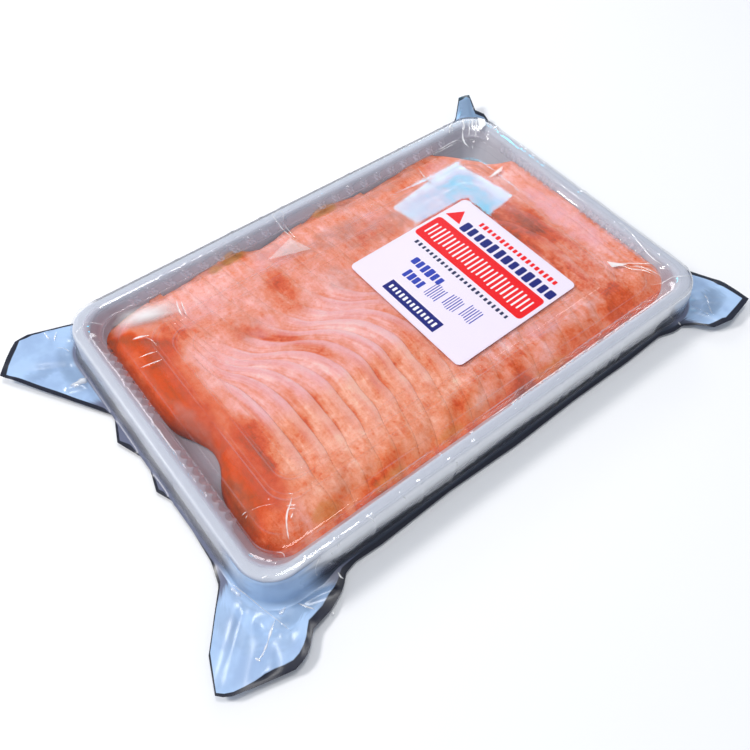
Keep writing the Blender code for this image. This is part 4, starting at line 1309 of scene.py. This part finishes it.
# Patches on the fish, in mm: X and Y of the middle, half length, half width, turn in degrees, and
# how far the patch moves the tone.
PATCHES = (
    (92, -6, 44, 18, 90, 0.19), (86, 2, 46, 9, 90, 0.14), (68, -50, 60, 4, 0, 0.04),
    (-104, 5, 60, 2, 90, -0.1), (-99, -33, 17, 5, 88, 0.1), (-116, 20, 25, 5, 88, 0.05),
    (-119, -45, 25, 4, 90, 0.14), (-97, 53, 9, 7, 0, 0.24), (-88, 47, 8, 5, 0, 0.12),
    (-112, 64, 7, 8, 60, 0.2), (-104, 71, 14, 4, -20, -0.3), (-85, 36, 11, 9, 0, -0.03),
    (-67, 30, 16, 4.5, -52, 0.26), (-53, 14, 12, 3.5, -48, 0.24), (-46, 2, 10, 2.5, -60, 0.15),
    (-37, 50, 8, 6.5, 0, 0.34), (-38, 39, 10, 8, 60, 0.18), (-45, 33, 16, 8, 0, 0.12),
    (-70, 66, 22, 9, 0, -0.12), (-45, 79, 9, 5, 0, 0.24), (-20, 70, 12, 8, -20, -0.1),
    (-12, 52, 12, 8, 0, 0.08), (-75, 8, 24, 4.5, -62, -0.15), (-86, -10, 14, 3.5, -80, -0.14),
    (-58, 0, 22, 6, -58, -0.14), (-44, -32, 16, 4, 86, -0.14), (-30, 8, 22, 6, -50, -0.17),
    (-14, -12, 14, 4, -75, -0.1), (-12, 28, 11, 3.5, -65, -0.14), (-77, -33, 7, 4, 80, 0.24),
    (-72, -14, 5, 3.5, 60, 0.2), (-65, -24, 7, 3, 80, 0.22), (-62, -40, 10, 4, 0, 0.12),
    (-34, -29, 11, 3.5, 86, 0.28), (-24, -22, 8, 3, 86, 0.14), (-27, -48, 9, 4, 30, 0.12),
    (-5, -20, 14, 5, 86, 0.2), (-5, -42, 8, 5, 80, 0.22), (-92, -20, 12, 4, 88, 0.2),
    (-84, -38, 8, 4, 85, 0.08), (-86, -53, 12, 3, 0, 0.08), (-83, -62, 10, 3.5, 5, -0.06),
    (-86, -68, 9, 4, 30, 0.14), (-112, -66, 7, 9, 0, -0.16), (-57, -68, 11, 4.5, 25, 0.16),
    (-70, -73, 10, 3, 15, 0.16), (-40, -66, 9, 4, 0, -0.06), (-20, -70, 9, 5, 30, 0.15),
    (-10, -63, 7, 4, 0, 0.14), (-4, -56, 8, 3, 0, -0.18), (-2, -68, 5, 3, 0, -0.22),
    (28, -53, 7, 4, 45, -0.2), (25, -68, 9, 5, 40, 0.2), (22, -74, 7, 3, 0, 0.18),
    (52, -54, 8, 4, 0, -0.12), (62, -68, 12, 5, 20, 0.1), (45, -66, 8, 4, 0, -0.1),
    (75, -58, 10, 5, 0, -0.06), (97, -66, 12, 8, 30, 0.26), (96, -45, 5, 9, 20, 0.1),
    (88, 5, 14, 3.5, 90, 0.12), (99, 0, 22, 6, 90, 0.3), (97, -18, 8, 4, -60, -0.18),
    (105, -20, 30, 2.5, 90, 0.14), (119, -5, 30, 7, 92, -0.08), (129, -18, 22, 2, 90, 0.2),
    (112, 38, 9, 5, 0, -0.16), (22, 46, 20, 8, 0, 0.12), (25, 70, 20, 5, 0, -0.05),
    (62, 66, 14, 5, 10, 0.12), (86, 74, 12, 7, 20, 0.06), (12, 78, 9, 4, 0, 0.1),
)

# Where the flesh has a cool rosy cast: X and Y of the middle and reach along both in mm, and strength.
ROSY_CASTS = (
    (118, -8, 9, 36, 0.75), (101, 22, 6, 12, 0.4), (-28, 64, 16, 9, 0.4), (-80, 56, 16, 9, 0.3),
    (-58, 28, 9, 7, 0.35), (-110, 72, 9, 6, 0.5), (30, 56, 14, 8, 0.3), (52, -56, 16, 5, 0.45),
    (88, 68, 12, 6, 0.4), (-20, 12, 14, 12, 0.35),
)

# Painted shade where the flesh looks dull and greyish, laid out the same way.
DULL_SHADE_CASTS = (
    (8, 58, 20, 9, 0.55), (34, 48, 30, 9, 0.4), (-10, 32, 9, 12, 0.35), (48, 74, 36, 6, 0.45),
    (-30, 72, 12, 7, 0.35), (-66, 33, 9, 9, 0.25), (-116, -2, 6, 20, 0.45), (96, 10, 9, 18, 0.3),
    (-10, 82, 95, 7, 0.45), (14, -72, 30, 5, 0.25),
)

# Golden brown bits along the far and near sides, laid out the same way.
GOLDEN_BITS = (
    (-45, 79, 9, 5, 0.8), (14, 78, 9, 4, 0.7), (-111, 78, 7, 3, 0.7), (-58, 76, 5, 3, 0.6),
    (-92, -70, 8, 4, 0.35), (-60, -74, 12, 3, 0.35), (-24, -73, 9, 3, 0.3), (40, -75, 14, 3, 0.3),
)


def flesh_tone(x, y):
    """How deep the flesh's colour is, from 0, nearly white fat, to 1, the brown edge, with painted shade
    towards the near wall.
    """
    warp_x = x + 3 * wander(x, y, 11, 21) + 1.4 * wander(x, y, 4, 22)
    warp_y = y + 3 * wander(x, y, 11, 23) + 1.4 * wander(x, y, 4, 24)
    deep_limit = np.interp(
        y, [-80, -60, -50, -16, 0, 30, 48, 60, 80], [-107, -103, -98, -94, -99, -101, -97, -112, -121]
    )
    tone = 0.4 + 0.38 * smooth((deep_limit + 4 - warp_x) / 9)
    tone = tone + 0.05 * smooth((warp_x + 16) / 26)
    # Painted shade: the flesh darkens towards the near wall.
    near = smooth((-49 - warp_y) / 7) * 0.07 + smooth((-66 - warp_y) / 7) * 0.1
    near = near + 0.17 * smooth((-72.5 - y) / 3.5)
    tone = tone + near * smooth((x + 106) / 8)
    tone = tone + 0.04 * smooth((warp_y - 32) / 12)
    dark_side = smooth((warp_x - 46) / 9) * smooth((104 - warp_x) / 8) * smooth((warp_y - 18) / 6)
    tone = tone + 0.32 * dark_side * smooth((60 - warp_y) / 8)
    for middle_x, middle_y, half_long, half_wide, degrees, shift in PATCHES:
        turn = math.radians(degrees)
        away_x, away_y = warp_x - middle_x, warp_y - middle_y
        long_way = (away_x * math.cos(turn) + away_y * math.sin(turn)) / half_long
        wide_way = (away_y * math.cos(turn) - away_x * math.sin(turn)) / half_wide
        tone = tone + shift * np.exp(-1 * (long_way ** 2 + wide_way ** 2) ** 1.2)
    return tone


def cast_share(x, y, places):
    """Share of a cast over the fish, from rows of middle, reach and strength."""
    share = np.zeros_like(x)
    ragged = 0.5 * wander(x, y, 6, 27)
    for *place, strength in places:
        share = np.maximum(share, strength * smooth(1.2 - oval(x, y, *place) + ragged))
    return share


def lay_flesh(made, index, behind, x, y):
    """Stores what the flesh material reads: tone, distance from the raised edge, and a metric UV."""
    paint(made, "tone", flesh_tone(x, y))
    paint(made, "golden", cast_share(x, y, GOLDEN_BITS))
    paint(made, "rosy", cast_share(x, y, ROSY_CASTS))
    paint(made, "dusky", cast_share(x, y, DULL_SHADE_CASTS))
    # Painted light on the near flesh, tinted cream.
    paint(made, "warm", smooth((-14 - y) / 12) * smooth((12 - x) / 20) * smooth((x + 104) / 8))
    band = smooth((-95 - x + 2 * wander(x, y, 12, 33)) / 6) * smooth((y + 66) / 8)
    near = smooth((-16 - y) / 14) - 1.2 * smooth((-58 - y) / 10)
    paint(made, "grainy", 0.8 - 0.45 * band + 0.36 * near * (1 - band))
    paint(made, "behind", behind)
    paint(made, "lines", line_zone(x, y))
    loops = np.zeros(len(made.data.loops), int)
    made.data.loops.foreach_get("vertex_index", loops)
    across = behind.ravel()[loops] * MM + 0.37 * index
    along = y.ravel()[loops] * MM
    made.data.uv_layers[0].data.foreach_set("uv", np.stack([across, along], -1).astype(np.float32).ravel())


def close_flesh(made, material, node):
    """Turns the closed flesh's faces outwards and finishes the slice."""
    edit_all(point_outwards)
    bpy.ops.object.shade_smooth()
    finish_piece(made, material, [node])


# How far the slices reach at -Y, at +Y, at -X and at +X, in mm, and the depth of each below the next.
NEAR_END, FAR_END, LEFT_END, RIGHT_END = -78, 78, -124, 128.4
SLICE_DEPTH = 35


def build_slice(index, node, material):
    """One slice: a sheet behind its raised edge that dips under the slices lying over it."""
    thick = sizes().slice_thick / MM
    columns, rows = 36, 132
    behind_row = SLICE_DEPTH * (np.linspace(0, 1, columns) ** 1.35)[::-1]
    behind, along = np.meshgrid(behind_row, np.linspace(-1, 1, rows))
    low_end = NEAR_END + 0.9 * math.sin(2.3 * index + 0.7)
    y = low_end + (FAR_END - low_end) * (along + 1) / 2
    x = raised_edge(index, y) - behind
    limit = np.minimum(bare_limit(x) - 0.8 + 1.7 * math.sin(1.7 * index + 1.9), 79.6)
    y = low_end + (limit - low_end) * (along + 1) / 2
    x = np.clip(raised_edge(index, y) - behind, LEFT_END, RIGHT_END)
    zone = line_zone(x, y)
    covers = index - slice_level(x, y)
    z = fish_ceiling(x, y) - slice_drop(covers, behind, zone)
    z = np.maximum(z, sizes().fish_foot / MM + thick)
    made = sheet_grid("salmon_" + node, np.stack([x, y, z], -1))
    edge_share = sizes().slice_edge / sizes().slice_thick * (0.1 + 0.5 * zone)
    weights = edge_share + (1 - edge_share) * smooth(covers / 0.7)
    group = made.vertex_groups.new(name="thickness")
    for at, weight in enumerate(weights.ravel()):
        group.add([at], float(weight), "REPLACE")
    lay_flesh(made, index, behind, x, y)
    thicken(made, sizes().slice_thick, group="thickness", thin_share=0)
    close_flesh(made, material, node)


def end_outline(y):
    """Where the thick end slice meets the tray's floor at -X, in mm: a bay in the middle."""
    bay = 12 * bell((y + 12) / 19)
    corner = np.maximum(np.abs(y + 2) - 62, 0)
    return -126 + bay + 0.9 * wander(y * 0, y, 13, 5) + 0.06 * corner ** 2


def build_end_slice(material):
    """The first slice lies folded over at -X, so its outer side is thick and rounded."""
    columns, rows = 64, 132
    share, along = np.meshgrid(np.linspace(0, 1, columns), np.linspace(-1, 1, rows))
    y = -1 + 77 * along
    raised = raised_edge(0, y)
    outer = end_outline(y)
    x = outer + (raised - outer) * share
    behind = raised - x
    shoulder = np.sqrt(np.clip(1 - (1 - np.clip((x - outer) / 13, 0, 1)) ** 2, 0, 1))
    top = fish_ceiling(x, y) - 0.18 * (1 - smooth(behind))
    foot = sizes().fish_foot / MM
    z = foot + (top - foot) * (0.06 + 0.94 * shoulder)
    made = sheet_grid("salmon_slice_01", np.stack([x, y, z], -1))
    lay_flesh(made, 0, np.minimum(behind, 7.9), x, y)
    edit_all(extrude(-MM))
    # The extruded copy is still selected, and becomes the slice's underside.
    place = np.zeros(len(made.data.vertices) * 3)
    made.data.vertices.foreach_get("co", place)
    place = place.reshape(-1, 3)
    under = np.zeros(len(place), bool)
    made.data.vertices.foreach_get("select", under)
    x_under, y_under = place[under, 0] / MM, place[under, 1] / MM
    covers = 1 - slice_level(x_under, y_under)
    drop = slice_drop(covers, raised_edge(1, y_under) - x_under, line_zone(x_under, y_under))
    low = np.maximum(fish_ceiling(x_under, y_under) - drop + 0.12, foot)
    low = np.minimum(low, place[under, 2] / MM + 1 - 0.4)
    place[under, 2] = np.maximum(low, foot - 0.1) * MM
    made.data.vertices.foreach_set("co", place.ravel())
    made.data.update()
    close_flesh(made, material, "slice_01")


def build_fish():
    """All the slices, from the thick end at -X to the last one at +X."""
    flesh = salmon_material()
    build_end_slice(flesh)
    for index, node in enumerate(SLICE_NODES[1:], 1):
        build_slice(index, node, flesh)


# ---------------------------------------------------------------- stage

def area_light(name, place, target, size, watts, shade):
    """Soft box at `place`, turned towards `target`, in metres."""
    deselect()
    bpy.ops.object.light_add(type="AREA", location=place)
    made = bpy.context.object
    made.name = name
    made.data.shape = "RECTANGLE"
    made.data.size = size[0]
    made.data.size_y = size[1]
    made.data.energy = watts
    made.data.color = shade[:3]
    made.rotation_euler = (Vector(target) - Vector(place)).to_track_quat("-Z", "Y").to_euler()


def lay_floor():
    """Wide backdrop paper a little under the pouch."""
    deselect()
    bpy.ops.mesh.primitive_plane_add(size=1, location=(0, 0, 0))
    floor = bpy.context.object
    floor.name = "studio_floor"
    floor.data.transform(Matrix.Translation((0, 0, -0.3 * MM)) @ Matrix.Scale(6, 4))
    paper, tree, place = new_material("matt_backdrop_paper")
    mottle = add(tree, "TexNoise", {"Vector": place, "Scale": per_mm(400), "Detail": 1})
    tone = add(tree, "Mix", {0: mottle, 6: "backdrop", 7: "backdrop_pale"})
    sheet = add(tree, "BsdfPrincipled", {"Base Color": tone, "Roughness": 0.9})
    add(tree, "OutputMaterial", {"Surface": sheet})
    floor.data.materials.append(paper)


def fill_air():
    """Grey light all round, dim from straight above so that the film mirrors little of it."""
    world = bpy.data.worlds.new("studio_air")
    world.use_nodes = True
    sky = world.node_tree
    sky.nodes.clear()
    way = add(sky, "TexCoord", out="Normal")
    height = add(sky, "SeparateXYZ", {"Vector": way}, out="Z")
    low = add(sky, "MapRange", (height, 0.7, 0.35), interpolation_type="SMOOTHSTEP")
    shade = add(sky, "Mix", {0: low, 6: (0.07, 0.075, 0.085, 1), 7: (0.42, 0.45, 0.5, 1)})
    air = add(sky, "Background", {"Color": shade, "Strength": 1})
    add(sky, "OutputWorld", {"Surface": air})
    bpy.context.scene.world = world


def hang_lights():
    # The window shows only as a reflection, so that it doesn't tint the fish.
    area_light("window", (0.556, 0.487, 0.6), (0.556, 0.487, 0), (0.16, 0.125), 0.62, (0, 0.68, 1))
    bpy.context.object.rotation_euler = (0, 0, math.radians(9))
    bpy.context.object.visible_diffuse = False
    mirrors = bpy.data.collections.new("window_mirrors")
    mirrors.objects.link(bpy.data.objects["pouch_film_top"])
    bpy.context.object.light_linking.receiver_collection = mirrors
    area_light("key_box", (-0.95, 0.75, 1.1), (0, 0, 0), (0.3, 0.3), 14.5, (1, 0.98, 0.96))
    area_light("top_box", (0.1, 0.1, 1.5), (0, 0, 0), (0.35, 0.35), 6.5, (1, 1, 1))
    area_light("back_box", (0.85, 0.9, 0.55), (0.05, 0.05, 0), (0.5, 0.25), 2.4, (0.95, 0.97, 1))


# Where the camera stands, in metres, and which ways are right, up and forward for it.
CAMERA_PLACE = (-0.1709, -0.192, 0.3151)
CAMERA_RIGHT = Vector((0.78508434, -0.61899133, 0.02218814))
CAMERA_UP = Vector((0.49443368, 0.647876, 0.57947565))
CAMERA_FORWARD = Vector((0.37306556, 0.44396669, -0.81468746))


def place_camera():
    bpy.ops.object.camera_add()
    camera = bpy.context.object
    camera.name = "camera"
    camera.data.lens = 37.26
    camera.data.sensor_width = 36
    camera.data.clip_start = 0.01
    turn = Matrix((CAMERA_RIGHT, CAMERA_UP, -CAMERA_FORWARD)).transposed().to_4x4()
    camera.matrix_world = Matrix.Translation(CAMERA_PLACE) @ turn
    bpy.context.scene.camera = camera


def build_stage():
    lay_floor()
    fill_air()
    hang_lights()
    place_camera()
    bpy.context.scene.view_settings.view_transform = "Standard"


# ---------------------------------------------------------------- operators and panel

class SALMONPACK_OT_tray(bpy.types.Operator):
    """Build the white thermoformed tray"""

    bl_idname = "salmon_pack.tray"
    bl_label = "Tray"

    def execute(self, context):
        build_tray()
        return {"FINISHED"}


class SALMONPACK_OT_fish(bpy.types.Operator):
    """Build the shingled slices of smoked salmon"""

    bl_idname = "salmon_pack.fish"
    bl_label = "Salmon slices"

    def execute(self, context):
        build_fish()
        return {"FINISHED"}


class SALMONPACK_OT_lid(bpy.types.Operator):
    """Build the clear pressed lid with its fluted plug wall"""

    bl_idname = "salmon_pack.lid"
    bl_label = "Lid"

    def execute(self, context):
        build_lid()
        return {"FINISHED"}


class SALMONPACK_OT_label(bpy.types.Operator):
    """Build the square label and its fields of print"""

    bl_idname = "salmon_pack.label"
    bl_label = "Label"

    def execute(self, context):
        build_label()
        return {"FINISHED"}


class SALMONPACK_OT_film(bpy.types.Operator):
    """Build the upper and lower film of the vacuum pouch"""

    bl_idname = "salmon_pack.film"
    bl_label = "Pouch film"

    def execute(self, context):
        build_film()
        return {"FINISHED"}


class SALMONPACK_OT_stage(bpy.types.Operator):
    """Set the floor, the lights and the camera"""

    bl_idname = "salmon_pack.stage"
    bl_label = "Stage"

    def execute(self, context):
        build_stage()
        return {"FINISHED"}


PIECE_OPERATORS = (
    SALMONPACK_OT_tray, SALMONPACK_OT_fish, SALMONPACK_OT_lid, SALMONPACK_OT_label,
    SALMONPACK_OT_film, SALMONPACK_OT_stage,
)


class SALMONPACK_PT_panel(bpy.types.Panel):
    """Lists the pieces of the pack and their sizes and colours"""

    bl_idname = "SALMONPACK_PT_panel"
    bl_label = "Salmon Pack"
    bl_space_type = "VIEW_3D"
    bl_region_type = "UI"
    bl_category = "Salmon Pack"

    def draw(self, context):
        layout = self.layout
        for piece in PIECE_OPERATORS:
            layout.operator(piece.bl_idname)
        for group in (context.scene.salmon_pack_sizes, context.scene.salmon_pack_colours):
            box = layout.box()
            for key in group.bl_rna.properties.keys():
                if key not in {"rna_type", "name"}:
                    box.prop(group, key)


CLASSES = (SalmonPackSizes, SalmonPackColours, *PIECE_OPERATORS, SALMONPACK_PT_panel)


def register():
    for kind in CLASSES:
        bpy.utils.register_class(kind)
    bpy.types.Scene.salmon_pack_sizes = PointerProperty(type=SalmonPackSizes)
    bpy.types.Scene.salmon_pack_colours = PointerProperty(type=SalmonPackColours)


def unregister():
    del bpy.types.Scene.salmon_pack_colours
    del bpy.types.Scene.salmon_pack_sizes
    for kind in reversed(CLASSES):
        bpy.utils.unregister_class(kind)


def main():
    register()
    bpy.ops.salmon_pack.tray()
    bpy.ops.salmon_pack.fish()
    bpy.ops.salmon_pack.lid()
    bpy.ops.salmon_pack.label()
    bpy.ops.salmon_pack.film()
    bpy.ops.salmon_pack.stage()


if __name__ == "__main__":
    main()
